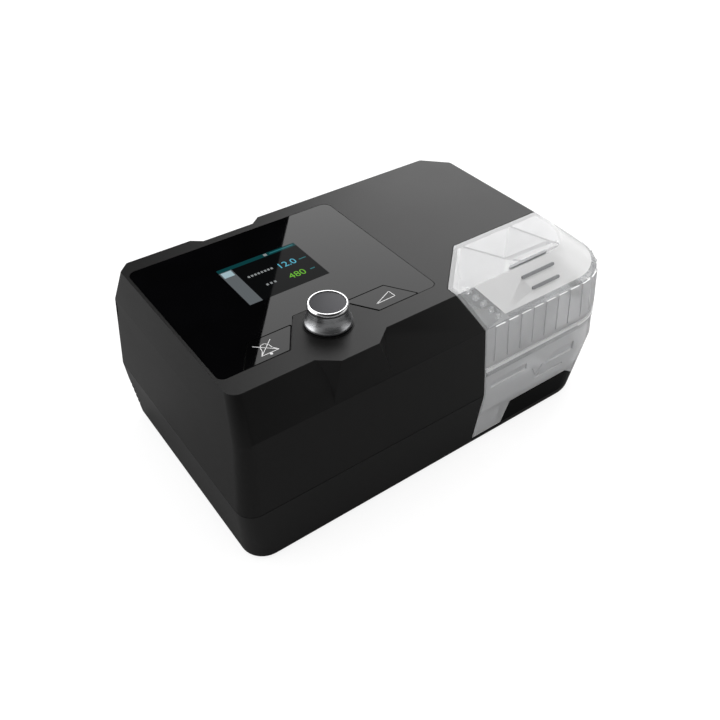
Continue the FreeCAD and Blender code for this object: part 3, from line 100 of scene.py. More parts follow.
def grained(name, low, high, roughness, spread, grain_mm, depth_mm, cloud_mm=18.0, **shader):
    """Moulded or ground surface: two close colours in clouds, uneven gloss and a fine grain."""
    made, tree, place = start_material(name)
    cloud = add(tree, "TexNoise", {"Vector": place, "Scale": scale_of(cloud_mm), "Detail": 3.0})
    grain = add(tree, "TexNoise", {"Vector": place, "Scale": scale_of(grain_mm), "Detail": 2.0})
    gloss_span = {"To Min": roughness - spread, "To Max": roughness + spread}
    gloss = add(tree, "MapRange", {"Value": cloud.outputs[0], **NOISE_SPAN, **gloss_span})
    relief = {"Height": grain.outputs[0], "Strength": 1.0, "Distance": depth_mm * MM}
    colour = add(tree, "Mix", between(cloud.outputs[0], low, high), data_type="RGBA")
    inputs = {"Base Color": colour.outputs[MIXED_COLOUR], "Roughness": gloss.outputs[0]}
    inputs["Normal"] = add(tree, "Bump", relief).outputs[0]
    for key, value in shader.items():
        inputs[key.replace("_", " ")] = value
    surface = add(tree, "BsdfPrincipled", inputs)
    add(tree, "OutputMaterial", {"Surface": surface.outputs[0]})
    return made


def dress(material, *names):
    """Gives CAD nodes that stay their material."""
    for name in names:
        mesh = nodes[name].data
        mesh.materials.clear()
        mesh.materials.append(material)


def mesh_of(name, shape):
    """Turns a finished bmesh into a mesh."""
    mesh = bpy.data.meshes.new(name)
    shape.to_mesh(mesh)
    shape.free()
    return mesh


def finish_piece(name, mesh, material, body):
    """Makes the piece's object, at the origin, and lets it ride on its body."""
    mesh.materials.append(material)
    piece = bpy.data.objects.new(name, mesh)
    bpy.context.scene.collection.objects.link(piece)
    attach(piece, body)
    return piece


def softened(name, body, material, width_mm, segments=3, cuts=(), edge_material=-1):
    """Copy of a CAD node with the small rounded edges of a moulding.

    Cuts are planes that divide its faces, so that each part can have a material of its own.
    """
    shape = bmesh.new()
    shape.from_mesh(nodes[name].data)
    bmesh.ops.remove_doubles(shape, verts=shape.verts, dist=0.004 * MM)
    bmesh.ops.dissolve_limit(
        shape,
        angle_limit=math.radians(0.6),
        verts=shape.verts,
        edges=shape.edges,
        use_dissolve_boundaries=False,
        delimit={"NORMAL"},
    )
    for point, normal in cuts:
        everything = list(shape.verts) + list(shape.edges) + list(shape.faces)
        bmesh.ops.bisect_plane(
            shape, geom=everything, dist=0.001 * MM, plane_co=point, plane_no=normal
        )
    rounded = name + "_rounded"
    piece = finish_piece(rounded, mesh_of(rounded, shape), material, body)
    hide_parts(name)
    sharp = math.radians(24)
    piece.data.shade_smooth()
    piece.data.set_sharp_from_angle(angle=sharp)
    edge = piece.modifiers.new("rounded edges", "BEVEL")
    edge.width = width_mm * MM
    edge.segments = segments
    edge.limit_method = "ANGLE"
    edge.angle_limit = sharp
    edge.use_clamp_overlap = True
    edge.harden_normals = True
    edge.material = edge_material
    return piece


# Spark-eroded ABS: nearly black, low sheen, grain 0.4 mm wide drawn 0.7 mm wide so that it shows.
casing_abs = grained(
    "ABS_black_spark_eroded",
    "#090909",
    "#0c0b0b",
    roughness=0.4,
    spread=0.012,
    grain_mm=0.7,
    depth_mm=0.012,
    cloud_mm=40.0,
    Specular_IOR_Level=0.3,
)

# The water chamber stands in a bay at the right front, over a low tray. The shell's faces are
# divided along the tray's floor and the bay's left and back sides.
tray_z = 5.2 * MM
bay_left = 25.0 * MM
bay_back = -23.4 * MM
base_cuts = [
    ((0, 0, tray_z), (0, 0, 1)),
    ((bay_left, 0, 0), (1, 0, 0)),
    ((0, bay_back, 0), (0, 1, 0)),
]
base = softened("base_casing", "main_unit", casing_abs, 0.5, cuts=base_cuts)

# Painted shade: the heel that carries the chamber, and other faces that lie in shade, get a deeper
# black that is smoother and mirrors almost nothing, with its faint grain drawn as wide as the
# casing's.
shade_black_abs = grained(
    "ABS_black_painted_shade",
    "#020202",
    "#030303",
    roughness=0.3,
    spread=0.02,
    grain_mm=0.7,
    depth_mm=0.006,
    cloud_mm=40.0,
    Specular_IOR_Level=0.05,
)


def surface_tree(mesh):
    """Search tree over a mesh's faces."""
    points = [vertex.co for vertex in mesh.vertices]
    return BVHTree.FromPolygons(points, [list(face.vertices) for face in mesh.polygons])


def inside_points(mesh):
    """A point that lies well inside each face, by the face's number."""
    mesh.calc_loop_triangles()
    points = {}
    for part in sorted(mesh.loop_triangles, key=lambda part: part.area):
        points[part.polygon_index] = Vector(part.center)
    return points


def paint_bay_shade(piece):
    """Paints shade on the upright faces in the bay and on the faces close to the chamber, with the
    darker black.
    """
    piece.data.materials.append(shade_black_abs)
    chamber_trees = [surface_tree(nodes[name].data) for name in ("chamber_tub", "chamber_lid")]
    clearance = 0.8 * MM
    points = inside_points(piece.data)
    for face in piece.data.polygons:
        point = points[face.index]
        in_bay = point.x > bay_left and point.y < bay_back and point.z > tray_z
        upright = abs(face.normal.z) < 0.5
        chamber_gap = min(tree.find_nearest(point)[3] for tree in chamber_trees)
        if (in_bay and upright) or chamber_gap < clearance:
            face.material_index = 1


# Painted shade on the base's bay walls and on its faces beside the chamber.
paint_bay_shade(base)

# ---------------------------------------------------------------- feet and case screws
# Four discs of black thermoplastic rubber are pressed into round seats under the base.
# Zinc-plated pan-head screws beside them hold the two shells together.

# Moulded rubber: dead matt, a little grey from dust, its fine grain drawn 1.2 mm wide to show.
foot_rubber = grained(
    "TPE_rubber_matt",
    "#101010",
    "#1b1b1a",
    roughness=0.85,
    spread=0.05,
    grain_mm=1.2,
    depth_mm=0.03,
)
dress(foot_rubber, "rubber_feet")

# Zinc plating: bluish grey metal with cloudy gloss, its crystals drawn 0.5 mm wide to show.
zinc_steel = grained(
    "zinc_plated_steel",
    "#a9adb0",
    "#c2c5c8",
    roughness=0.34,
    spread=0.08,
    grain_mm=0.5,
    depth_mm=0.004,
    cloud_mm=4.0,
    Metallic=1.0,
)
dress(zinc_steel, "case_screws")

# ---------------------------------------------------------------- power board and sockets
# A glass-fibre circuit board carries the power parts, the power jack, the data port and the
# card sleeve, whose mouths stand in the base's back wall.


def board_material(name, track_mm):
    """Green solder mask over copper tracks, which show as slightly lighter lines."""
    made, tree, place = start_material(name)
    track_share = 0.12
    pattern = {"Vector": place, "Scale": track_share / (track_mm * MM)}
    pattern.update({"Mortar Size": track_share, "Mortar Smooth": 0.1})
    pattern["Color1"] = hex_colour("#0d3f24")
    pattern["Color2"] = hex_colour("#0f4628")
    pattern["Mortar"] = hex_colour("#1a6238")
    tracks = add(tree, "TexBrick", pattern, offset=0.35)
    relief = {"Height": tracks.outputs["Fac"], "Strength": 0.6, "Distance": 0.04 * MM}
    cloud = add(tree, "TexNoise", {"Vector": place, "Scale": scale_of(11.1), "Detail": 2.0})
    gloss = add(tree, "MapRange", {"Value": cloud.outputs[0], "To Min": 0.28, "To Max": 0.44})
    inputs = {"Base Color": tracks.outputs["Color"], "Roughness": gloss.outputs[0]}
    inputs["Normal"] = add(tree, "Bump", relief).outputs[0]
    surface = add(tree, "BsdfPrincipled", inputs)
    add(tree, "OutputMaterial", {"Surface": surface.outputs[0]})
    return made


# FR4 board with solder mask: satin green, tracks 1 mm wide.
solder_mask = board_material("FR4_solder_mask", track_mm=1.0)
dress(solder_mask, "power_board", "main_board")

# Epoxy and PBT mouldings of components: dark grey, fine texture drawn 0.4 mm wide to show.
component_epoxy = grained(
    "PBT_component_black",
    "#121213",
    "#1e1e20",
    roughness=0.55,
    spread=0.06,
    grain_mm=0.4,
    depth_mm=0.01,
    cloud_mm=6.0,
)
dress(component_epoxy, "power_parts", "key_switches", "display_connector", "alarm_buzzer")
dress(component_epoxy, "dial_encoder", "flow_sensor")
softened("power_jack", "main_unit", component_epoxy, 0.3)

# Stamped tin-plated steel: soft bright metal with rolling clouds, grain drawn 0.6 mm wide to show.
tin_steel = grained(
    "tin_plated_steel",
    "#b4b6b8",
    "#cfd0d1",
    roughness=0.3,
    spread=0.07,
    grain_mm=0.6,
    depth_mm=0.003,
    cloud_mm=5.0,
    Metallic=1.0,
)
dress(tin_steel, "data_port", "card_socket", "screen_module", "heater_springs")
dress(tin_steel, "blower_motor", "rotor_shaft", "dial_sleeve", "dial_shaft")

# Bright-turned brass contact: yellow, glossy, its turning marks drawn 0.3 mm wide to show.
turned_brass = grained(
    "brass_bright_turned",
    "#b8923f",
    "#d2ad58",
    roughness=0.22,
    spread=0.05,
    grain_mm=0.3,
    depth_mm=0.002,
    cloud_mm=3.0,
    Metallic=1.0,
)
dress(turned_brass, "power_pin")

# ---------------------------------------------------------------- memory card
# A full-size memory card with its cut corner pushes into the sleeve on the power board. Its two
# halves are moulded in black plastic and welded together.
softened("memory_card", "card", component_epoxy, 0.25)

# ---------------------------------------------------------------- air intake
# A polypropylene box lined with open-cell foam quietens the intake. A pleated filter closes its
# window, and a louvred ABS cover clips over the corner.

# Natural polypropylene: milky white, waxy, its fine grain drawn 1 mm wide to show.
natural_pp = grained(
    "polypropylene_natural",
    "#cfcec7",
    "#dcdbd5",
    roughness=0.42,
    spread=0.06,
    grain_mm=1.0,
    depth_mm=0.01,
    cloud_mm=25.0,
)
dress(natural_pp, "muffler_box", "blower_lower", "blower_upper", "impeller", "air_duct")
dress(natural_pp, "outlet_duct", "heater_tray", "mute_key_post", "ramp_key_post")

# Acoustic PU foam: dark grey open cells about 1.2 mm across.
acoustic_foam = grained(
    "PU_foam_open_cell",
    "#202022",
    "#39393c",
    roughness=0.95,
    spread=0.02,
    grain_mm=1.2,
    depth_mm=0.5,
    cloud_mm=1.5,
)
dress(acoustic_foam, "muffler_foam")


def band_scale(pitch_mm):
    """Scale at which the bands of a wave texture are a real distance apart."""
    return math.tau / 20 / (pitch_mm * MM)


def pleated(name):
    """White fibre fleece folded into pleats, with the roughness of its fibres."""
    made, tree, place = start_material(name)
    fold = add(tree, "TexWave", {"Vector": place, "Scale": band_scale(6.0)})
    fibre = add(tree, "TexNoise", {"Vector": place, "Scale": scale_of(0.667), "Detail": 4.0})
    height = add(tree, "Math", {0: fold.outputs["Fac"], 1: fibre.outputs[0]}, operation="ADD")
    relief = {"Height": height.outputs[0], "Strength": 0.9, "Distance": 0.6 * MM}
    shades = between(fold.outputs["Fac"], "#c9c9c2", "#efefe9")
    colour = add(tree, "Mix", shades, data_type="RGBA")
    inputs = {"Base Color": colour.outputs[MIXED_COLOUR], "Roughness": 0.9}
    inputs["Normal"] = add(tree, "Bump", relief).outputs[0]
    surface = add(tree, "BsdfPrincipled", inputs)
    add(tree, "OutputMaterial", {"Surface": surface.outputs[0]})
    return made


# Polyester fleece filter: pleats 6 mm apart, and fibres drawn 0.67 mm wide so that they show.
dress(pleated("polyester_fleece_pleated"), "inlet_filter")
softened("louvre_cover", "intake_cover", casing_abs, 0.3, 2)

# ---------------------------------------------------------------- blower and ducts
# The scroll and the ducts are polypropylene, and the wheel runs on a steel shaft in the motor.
# Silicone pillars and a silicone boot keep the blower's hum off the casing.


def silicone(name):
    """Translucent silicone: milky, slightly waxy, with a soft bloom."""
    made, tree, place = start_material(name)
    cloud = add(tree, "TexNoise", {"Vector": place, "Scale": scale_of(16.7), "Detail": 2.0})
    grain = add(tree, "TexNoise", {"Vector": place, "Scale": scale_of(0.833), "Detail": 2.0})
    relief = {"Height": grain.outputs[0], "Strength": 0.5, "Distance": 0.02 * MM}
    shades = between(cloud.outputs[0], "#cfcdc5", "#dedcd6")
    colour = add(tree, "Mix", shades, data_type="RGBA")
    inputs = {"Base Color": colour.outputs[MIXED_COLOUR], "Roughness": 0.48}
    inputs["Normal"] = add(tree, "Bump", relief).outputs[0]
    inputs["Subsurface Weight"] = 0.15
    inputs["Subsurface Scale"] = 2.0 * MM
    surface = add(tree, "BsdfPrincipled", inputs)
    add(tree, "OutputMaterial", {"Surface": surface.outputs[0]})
    return made


# Liquid silicone rubber: its fine bloom is drawn 0.8 mm wide so that it shows.
silicone_rubber = silicone("silicone_translucent")
dress(silicone_rubber, "blower_mounts", "intake_boot", "inlet_seal", "outlet_seal", "lid_seal")

# ---------------------------------------------------------------- air outlet
# A round well in the back wall holds the standard spigot that the breathing hose pushes on to.
# Both are mouldings of the same black ABS.
softened("outlet_well", "main_unit", casing_abs, 0.4)
softened("hose_connector", "main_unit", casing_abs, 0.6)

# ---------------------------------------------------------------- heater
# A plate of rolled aluminium floats on four springs and presses on the chamber's own plate.
# Both are pressed from sheet, so the straight marks of the mill's rollers show on them.


def rolled(name, length_mm, width_mm):
    """Rolled sheet with fine straight marks along X."""
    made, tree, place = start_material(name)
    across = scale_of(width_mm)
    stretch = add(
        tree, "Mapping", {"Vector": place, "Scale": (scale_of(length_mm), across, across)}
    )
    marks = add(tree, "TexNoise", {"Vector": stretch.outputs[0], "Scale": 1.0, "Detail": 4.0})
    relief = {"Height": marks.outputs[0], "Strength": 0.5, "Distance": 0.01 * MM}
    gloss = add(tree, "MapRange", {"Value": marks.outputs[0], "To Min": 0.25, "To Max": 0.45})
    shades = between(marks.outputs[0], "#b9babb", "#d3d4d5")
    colour = add(tree, "Mix", shades, data_type="RGBA")
    inputs = {"Base Color": colour.outputs[MIXED_COLOUR], "Metallic": 1.0}
    inputs["Roughness"] = gloss.outputs[0]
    inputs["Normal"] = add(tree, "Bump", relief).outputs[0]
    surface = add(tree, "BsdfPrincipled", inputs)
    add(tree, "OutputMaterial", {"Surface": surface.outputs[0]})
    return made


# Rolled aluminium sheet: marks 25 mm long, drawn 0.56 mm wide so that they show.
rolled_aluminium = rolled("aluminium_rolled_sheet", length_mm=25.0, width_mm=0.556)
dress(rolled_aluminium, "heater_plate", "chamber_heat_plate")

# ---------------------------------------------------------------- upper casing
# The upper shell is the same black ABS, with the bay of the chamber cut out of its right front
# corner and the seat of the glass sunk into its top.
top = softened("top_casing", "main_unit", casing_abs, 0.6)
# Painted shade on the upper shell's bay walls and on its faces beside the chamber.
paint_bay_shade(top)

# ---------------------------------------------------------------- control panel
# One window of black-printed acrylic covers the screen and runs round the dial. The two keys are
# cut from the same sheet.


def gloss_black(name):
    """Polished black acrylic with the faint ripple of a moulded window."""
    made, tree, place = start_material(name)
    ripple = add(tree, "TexNoise", {"Vector": place, "Scale": scale_of(22.2), "Detail": 1.0})
    relief = {"Height": ripple.outputs[0], "Strength": 0.15, "Distance": 0.02 * MM}
    gloss = add(tree, "MapRange", {"Value": ripple.outputs[0], "To Min": 0.012, "To Max": 0.03})
    shades = between(ripple.outputs[0], "#020202", "#040405")
    colour = add(tree, "Mix", shades, data_type="RGBA")
    inputs = {"Base Color": colour.outputs[MIXED_COLOUR], "Roughness": gloss.outputs[0]}
    inputs["Normal"] = add(tree, "Bump", relief).outputs[0]
    inputs["IOR"] = 1.49
    inputs["Specular IOR Level"] = 0.3
    surface = add(tree, "BsdfPrincipled", inputs)
    add(tree, "OutputMaterial", {"Surface": surface.outputs[0]})
    return made


# Black-backed PMMA: deep black under a clear mirror gloss. The rounded edges of the window and the
# keys take the black of painted shade, which draws dark outlines in the gaps round them.
panel_pmma = gloss_black("PMMA_black_backed")
sheets = (
    ("display_glass", "main_unit", 0.55),
    ("mute_key", "mute_button", 0.36),
    ("ramp_key", "ramp_button", 0.36),
)
for name, body, edge_mm in sheets:
    sheet = softened(name, body, panel_pmma, edge_mm, 2, edge_material=1)
    sheet.data.materials.append(shade_black_abs)

# ---------------------------------------------------------------- screen
# The LCD's picture shows through the window. It is drawn as thin glowing fields that lie on the
# acrylic, with plain bars and plain numbers.

# The screen's middle and the dial's axis have the same X.
panel_x = -58.0 * MM
screen_width = 49.0 * MM
screen_height = 36.8 * MM
screen_left = panel_x - screen_width / 2
screen_low = -4.6 * MM

# Fields and print are 0.02 mm thick, and their middle lies just over the acrylic.
panel_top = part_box("display_glass")[1].z
print_depth = 0.02 * MM
print_z = panel_top + 0.012 * MM


def lit(name, text):
    """Field of the screen behind the window's gloss, with the fine rows of its pixels."""
    made, tree, place = start_material(name)
    spacing = {"Vector": place, "Scale": band_scale(1.0)}
    rows = add(tree, "TexWave", spacing, bands_direction="Y").outputs["Fac"]
    level = add(tree, "MapRange", {"Value": rows, "To Min": 0.82, "To Max": 1.0})
    glow = add(tree, "Mix", between(level.outputs[0], "#000000", text), data_type="RGBA")
    inputs = {"Base Color": hex_colour("#020202"), "Roughness": 0.03, "IOR": 1.49}
    inputs["Specular IOR Level"] = 0.03
    inputs["Emission Color"] = glow.outputs[MIXED_COLOUR]
    inputs["Emission Strength"] = 1.0
    surface = add(tree, "BsdfPrincipled", inputs)
    add(tree, "OutputMaterial", {"Surface": surface.outputs[0]})
    return made


# LCD fields: they glow at the colours they are written in. The rows of pixels are 0.15 mm apart,
# and drawn 1 mm apart so that they show.
lcd_dark = lit("LCD_dark_field", "#08090a")
lcd_teal = lit("LCD_teal", "#0a3d40")
lcd_grey = lit("LCD_grey", "#606568")
lcd_pale = lit("LCD_pale", "#a4bdc5")
lcd_text = lit("LCD_text", "#8f9394")
lcd_cyan = lit("LCD_cyan", "#58b6cf")
lcd_green = lit("LCD_green", "#6ab62f")
lcd_dim = lit("LCD_dim_teal", "#2c7177")


def on_screen(u, v):
    """Point of the screen from shares of its width and height."""
    return Vector((screen_left + u * screen_width, screen_low + v * screen_height))


def screen_field(name, boxes, material, rise_mm=0.0):
    """Bars of one colour, between corners that are shares of the screen."""
    shape = bmesh.new()
    for u_low, v_low, u_high, v_high in boxes:
        low, high = on_screen(u_low, v_low), on_screen(u_high, v_high)
        size = Matrix.Diagonal((high.x - low.x, high.y - low.y, print_depth, 1.0))
        middle = ((low.x + high.x) / 2, (low.y + high.y) / 2, print_z + rise_mm * MM)
        bmesh.ops.create_cube(shape, size=1.0, matrix=Matrix.Translation(middle) @ size)
    finish_piece(name, mesh_of(name, shape), material, "main_unit")


def screen_number(name, text, u, v, material):
    """Plain number, 4.8 mm high, as a thin mesh."""
    capital_share = 0.7
    curve = bpy.data.curves.new(name, "FONT")
    curve.body = text
    curve.size = 4.8 * MM / capital_share
    curve.extrude = print_depth / 2
    source = bpy.data.objects.new(name + "_text", curve)
    bpy.context.scene.collection.objects.link(source)
    bpy.context.view_layer.update()
    ready = source.evaluated_get(bpy.context.evaluated_depsgraph_get())
    mesh = bpy.data.meshes.new_from_object(ready)
    bpy.data.objects.remove(source)
    start = on_screen(u, v)
    mesh.transform(Matrix.Translation((start.x, start.y, print_z + 0.03 * MM)))
    finish_piece(name, mesh, material, "main_unit")


screen_field("screen_ground", [(0.0, 0.0, 1.0, 1.0)], lcd_dark)
screen_field("screen_title_bar", [(0.0, 0.915, 1.0, 1.0)], lcd_teal, 0.03)
screen_field("screen_side_bar", [(0.0, 0.0, 0.155, 0.915)], lcd_grey, 0.03)
screen_field("screen_side_mark", [(0.015, 0.76, 0.14, 0.9)], lcd_pale, 0.05)
upper_word = [(0.23 + 0.041 * i, 0.575) for i in range(8)]
lower_word = [(0.325 + 0.048 * i, 0.26) for i in range(3)]
blocks = [(u, v, u + 0.025, v + 0.045) for u, v in upper_word + lower_word]
screen_field("screen_words", blocks, lcd_text, 0.03)
unit_bars = [(0.87, 0.555, 0.96, 0.575), (0.87, 0.245, 0.93, 0.265)]
screen_field("screen_units", unit_bars, lcd_dim, 0.03)
screen_field("screen_time", [(0.66, 0.946, 0.97, 0.969)], lcd_dim, 0.05)
screen_field("screen_sign", [(0.585, 0.93, 0.625, 0.985)], lcd_text, 0.05)
screen_number("screen_upper_number", "12.0", 0.592, 0.515, lcd_cyan)
screen_number("screen_lower_number", "480", 0.6, 0.2, lcd_green)

# ---------------------------------------------------------------- signs on the keys
# Each key carries one plain sign, screen-printed in white ink on the acrylic: a crossed bell on
# the left key and a rising triangle on the right one.


def printed(name, low, high):
    """Screen-printed ink: matt white with slightly uneven cover."""
    made, tree, place = start_material(name)
    cover = add(tree, "TexNoise", {"Vector": place, "Scale": scale_of(1.11), "Detail": 3.0})
    colour = add(tree, "Mix", between(cover.outputs[0], low, high), data_type="RGBA")
    inputs = {"Base Color": colour.outputs[MIXED_COLOUR], "Roughness": 0.5}
    surface = add(tree, "BsdfPrincipled", inputs)
    add(tree, "OutputMaterial", {"Surface": surface.outputs[0]})
    return made


def stroke(shape, centre, start, end, width_mm, z):
    """Thin printed line between two points, in mm from the middle of its sign."""
    start, end = (centre + Vector(start)) * MM, (centre + Vector(end)) * MM
    width = width_mm * MM
    along = end - start
    middle = (start + end) / 2
    end_overlap = 0.4 * width
    size = Matrix.Diagonal((along.length + 2 * end_overlap, width, print_depth, 1.0))
    turn = Matrix.Rotation(math.atan2(along.y, along.x), 4, "Z")
    place = Matrix.Translation((middle.x, middle.y, z))
    bmesh.ops.create_cube(shape, size=1.0, matrix=place @ turn @ size)


def outlined(centre, corners, width_mm):
    """Printed line that goes through a sign's corners and back to the first."""
    shape = bmesh.new()
    for start, end in zip(corners, corners[1:] + corners[:1]):
        stroke(shape, centre, start, end, width_mm, print_z)
    return shape


# White printing ink: matt, its grain of 0.1 mm drawn 1.1 mm wide to show.
white_ink = printed("printing_ink_white", "#a6a6a6", "#c4c4c4")

# Crossed bell: the sign for a silenced alarm.
bell_middle = Vector((-93.2, -39.3))
bell_line = 0.38
right_half = [(4.7, -3.4), (2.8, -0.6), (2.3, 2.4), (0.9, 4.0)]
left_half = [(-x, y) for x, y in reversed(right_half)]
bell = outlined(bell_middle, right_half + left_half, bell_line)
stroke(bell, bell_middle, (-4.8, 5.2), (4.7, -3.4), bell_line, panel_top + print_depth)
stroke(bell, bell_middle, (4.8, 5.2), (-4.7, -3.4), bell_line, panel_top + print_depth)
clapper = (bell_middle + Vector((0, -4.3))) * MM
bmesh.ops.create_cone(
    bell,
    cap_ends=True,
    segments=24,
    radius1=0.8 * MM,
    radius2=0.8 * MM,
    depth=print_depth,
    matrix=Matrix.Translation((clapper.x, clapper.y, print_z)),
)
bell_mesh = mesh_of("mute_symbol", bell)
finish_piece("mute_symbol", bell_mesh, white_ink, "mute_button")

# Rising triangle: the sign for a slow rise of the pressure.
ramp = outlined(Vector((-23.0, -39.0)), [(-6.4, -2.5), (5.6, -2.2), (5.2, 2.8)], 0.42)
ramp_mesh = mesh_of("ramp_symbol", ramp)
finish_piece("ramp_symbol", ramp_mesh, white_ink, "ramp_button")

# ---------------------------------------------------------------- dial
# The dial is turned from aluminium: a skirted body in satin anodising, a polished ring round its
# top and a sunk dark disc. It turns endlessly and is pressed to choose.
dial_y = -39.7 * MM
dial_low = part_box("dial_body")[0].z / MM
dial_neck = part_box("dial_body")[1].z / MM
ring_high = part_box("dial_ring")[1].z / MM - 0.9


def turned_metal(name, low, high, roughness, mark_mm):
    """Turned metal with fine marks that run round the dial's axis."""
    made, tree, place = start_material(name)
    centre = add(tree, "Mapping", {"Vector": place, "Location": (-panel_x, -dial_y, 0.0)})
    parts = add(tree, "SeparateXYZ", {"Vector": centre.outputs[0]})
    flat = add(tree, "CombineXYZ", {"X": parts.outputs[0], "Y": parts.outputs[1]})
    radius = add(tree, "VectorMath", {0: flat.outputs[0]}, operation="LENGTH").outputs["Value"]
    along = add(tree, "Math", {0: radius, 1: parts.outputs[2]}, operation="ADD")
    spacing = {"W": along.outputs[0], "Scale": scale_of(mark_mm), "Detail": 3.0}
    marks = add(tree, "TexNoise", spacing, noise_dimensions="1D")
    relief = {"Height": marks.outputs[0], "Strength": 0.5, "Distance": 0.002 * MM}
    gloss_span = {"To Min": roughness - 0.05, "To Max": roughness + 0.05}
    gloss = add(tree, "MapRange", {"Value": marks.outputs[0], **NOISE_SPAN, **gloss_span})
    colour = add(tree, "Mix", between(marks.outputs[0], low, high), data_type="RGBA")
    inputs = {"Base Color": colour.outputs[MIXED_COLOUR], "Metallic": 1.0}
    inputs["Roughness"] = gloss.outputs[0]
    inputs["Normal"] = add(tree, "Bump", relief).outputs[0]
    surface = add(tree, "BsdfPrincipled", inputs)
    add(tree, "OutputMaterial", {"Surface": surface.outputs[0]})
    return made


def turned_piece(name, profile, rounding, material, node):
    """Piece turned about the dial's axis from a closed profile of (radius, height) in mm.

    Rounding gives the size of a corner's fillet by the corner's number.
    """
    shape = bmesh.new()
    corners = [shape.verts.new((radius * MM, 0.0, z * MM)) for radius, z in profile]
    shape.faces.new(corners)
    for fillet in sorted(set(rounding.values()), reverse=True):
        bmesh.ops.bevel(
            shape,
            geom=[corners[i] for i, size in rounding.items() if size == fillet],
            offset=fillet * MM,
            offset_type="OFFSET",
            segments=6,
            profile=0.5,
            affect="VERTICES",
            clamp_overlap=True,
            material=-1,
        )
    outline = list(shape.edges)
    bmesh.ops.delete(shape, geom=list(shape.faces), context="FACES_ONLY")
    bmesh.ops.spin(
        shape,
        geom=outline + list(shape.verts),
        cent=(0, 0, 0),
        axis=(0, 0, 1),
        angle=math.tau,
        steps=128,
        use_merge=True,
    )
    bmesh.ops.remove_doubles(shape, verts=shape.verts, dist=0.001 * MM)
    bmesh.ops.translate(shape, verts=shape.verts, vec=(panel_x, dial_y, 0))
    bmesh.ops.recalc_face_normals(shape, faces=shape.faces)
    piece = finish_piece(name, mesh_of(name, shape), material, "dial")
    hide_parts(node)
    piece.data.shade_smooth()
    piece.data.set_sharp_from_angle(angle=math.radians(40))


# Satin anodised aluminium, turned: marks 0.1 mm apart drawn 0.35 mm apart so that they show.
satin_aluminium = turned_metal("aluminium_satin_anodised", "#b4b5b7", "#c6c7c9", 0.3, 0.35)
skirt_profile = [
    (5.0, dial_low),
    (12.5, dial_low),
    (12.5, dial_low + 1.0),
    (10.8, dial_low + 4.1),
    (10.0, dial_neck),
    (5.0, dial_neck),
]
skirt_fillets = {1: 0.3, 2: 0.7, 3: 2.4}
turned_piece(
    "dial_skirt", skirt_profile, skirt_fillets, satin_aluminium, "dial_body"
)

# Polished chrome plating: the polishing marks are drawn 0.6 mm apart so that they show.
polished_chrome = turned_metal("chrome_polished", "#ececed", "#f6f6f7", 0.2, 0.6)
ring_inside = 9.2
ring_profile = [
    (ring_inside, dial_neck - 0.9),
    (10.5, dial_neck - 0.9),
    (10.5, ring_high - 1.0),
    (9.95, ring_high - 0.15),
    (9.8, ring_high),
    (ring_inside, ring_high),
]
ring_fillets = {1: 0.3, 2: 0.4, 5: 0.12}
turned_piece(
    "dial_bright_ring", ring_profile, ring_fillets, polished_chrome, "dial_ring"
)

# Dark anodised disc with faint turning rings, pressed into the ring.
dark_disc = turned_metal("aluminium_dark_anodised", "#3f3f41", "#4a4a4c", 0.42, 0.5)
axis_hole = 0.02
disc_radius = ring_inside + 0.1
disc_profile = [
    (axis_hole, dial_neck - 0.7),
    (disc_radius, dial_neck - 0.7),
    (disc_radius, ring_high - 0.4),
    (axis_hole, ring_high - 0.4),
]
turned_piece("dial_dark_disc", disc_profile, {2: 0.2}, dark_disc, "dial_cap")
dress(casing_abs, "dial_bezel")

# ---------------------------------------------------------------- water chamber
# The tub and its lid are injection-moulded polycarbonate with a lightly frosted inside, and their
# faces carry painted light and painted shade by where they stand. Flutes and bars stiffen the lid.


def frosted_clear(name, low, high, clearness):
    """Frosted clear plastic: partly clear, partly milky, with faint flow marks."""
    made, tree, place = start_material(name)
    cloud = add(tree, "TexNoise", {"Vector": place, "Scale": scale_of(28.6), "Detail": 2.0})
    grain = add(tree, "TexNoise", {"Vector": place, "Scale": scale_of(1.11), "Detail": 2.0})
    relief = {"Height": grain.outputs[0], "Strength": 0.4, "Distance": 0.012 * MM}
    gloss = add(tree, "MapRange", {"Value": cloud.outputs[0], "To Min": 0.05, "To Max": 0.1})
    colour = add(tree, "Mix", between(cloud.outputs[0], low, high), data_type="RGBA")
    inputs = {"Base Color": colour.outputs[MIXED_COLOUR], "Roughness": gloss.outputs[0]}
    inputs["Normal"] = add(tree, "Bump", relief).outputs[0]
    inputs["IOR"] = 1.58
    inputs["Transmission Weight"] = clearness
    surface = add(tree, "BsdfPrincipled", inputs)
    add(tree, "OutputMaterial", {"Surface": surface.outputs[0]})
    return made


# Polycarbonate, clear and lightly frosted, clearest on the roof. The slope and the sides that stand
# in the bay are whiter and less clear, as painted light. The inner walls and the bars are grey, as
# painted shade, and a clearer strip over the crease is a little darker, as painted shade. The grain
# of the frosting is drawn 1.1 mm wide so that it shows.
frosted_pc = frosted_clear("polycarbonate_frosted", "#eeeff0", "#f5f5f6", 0.6)
plastics = (
    frosted_clear("polycarbonate_roof", "#f1f1f2", "#f6f6f7", 0.78),
    frosted_clear("polycarbonate_slope_painted_light", "#f8f8f8", "#fdfdfd", 0.32),
    frosted_clear("polycarbonate_bay_side_painted_light", "#f4f4f5", "#fafafa", 0.12),
    frosted_clear("polycarbonate_inner_wall_painted_shade", "#8d8f91", "#999b9d", 0.5),
    frosted_clear("polycarbonate_edge_strip_painted_shade", "#e6e8e9", "#eeeff0", 0.78),
)

# Their numbers among the materials of the tub and the lid, where the plain frosted one is 0.
ROOF, LIT_SLOPE, LIT_BAY_SIDE, SHADED_INNER_WALL, SHADED_EDGE_STRIP = range(1, 6)
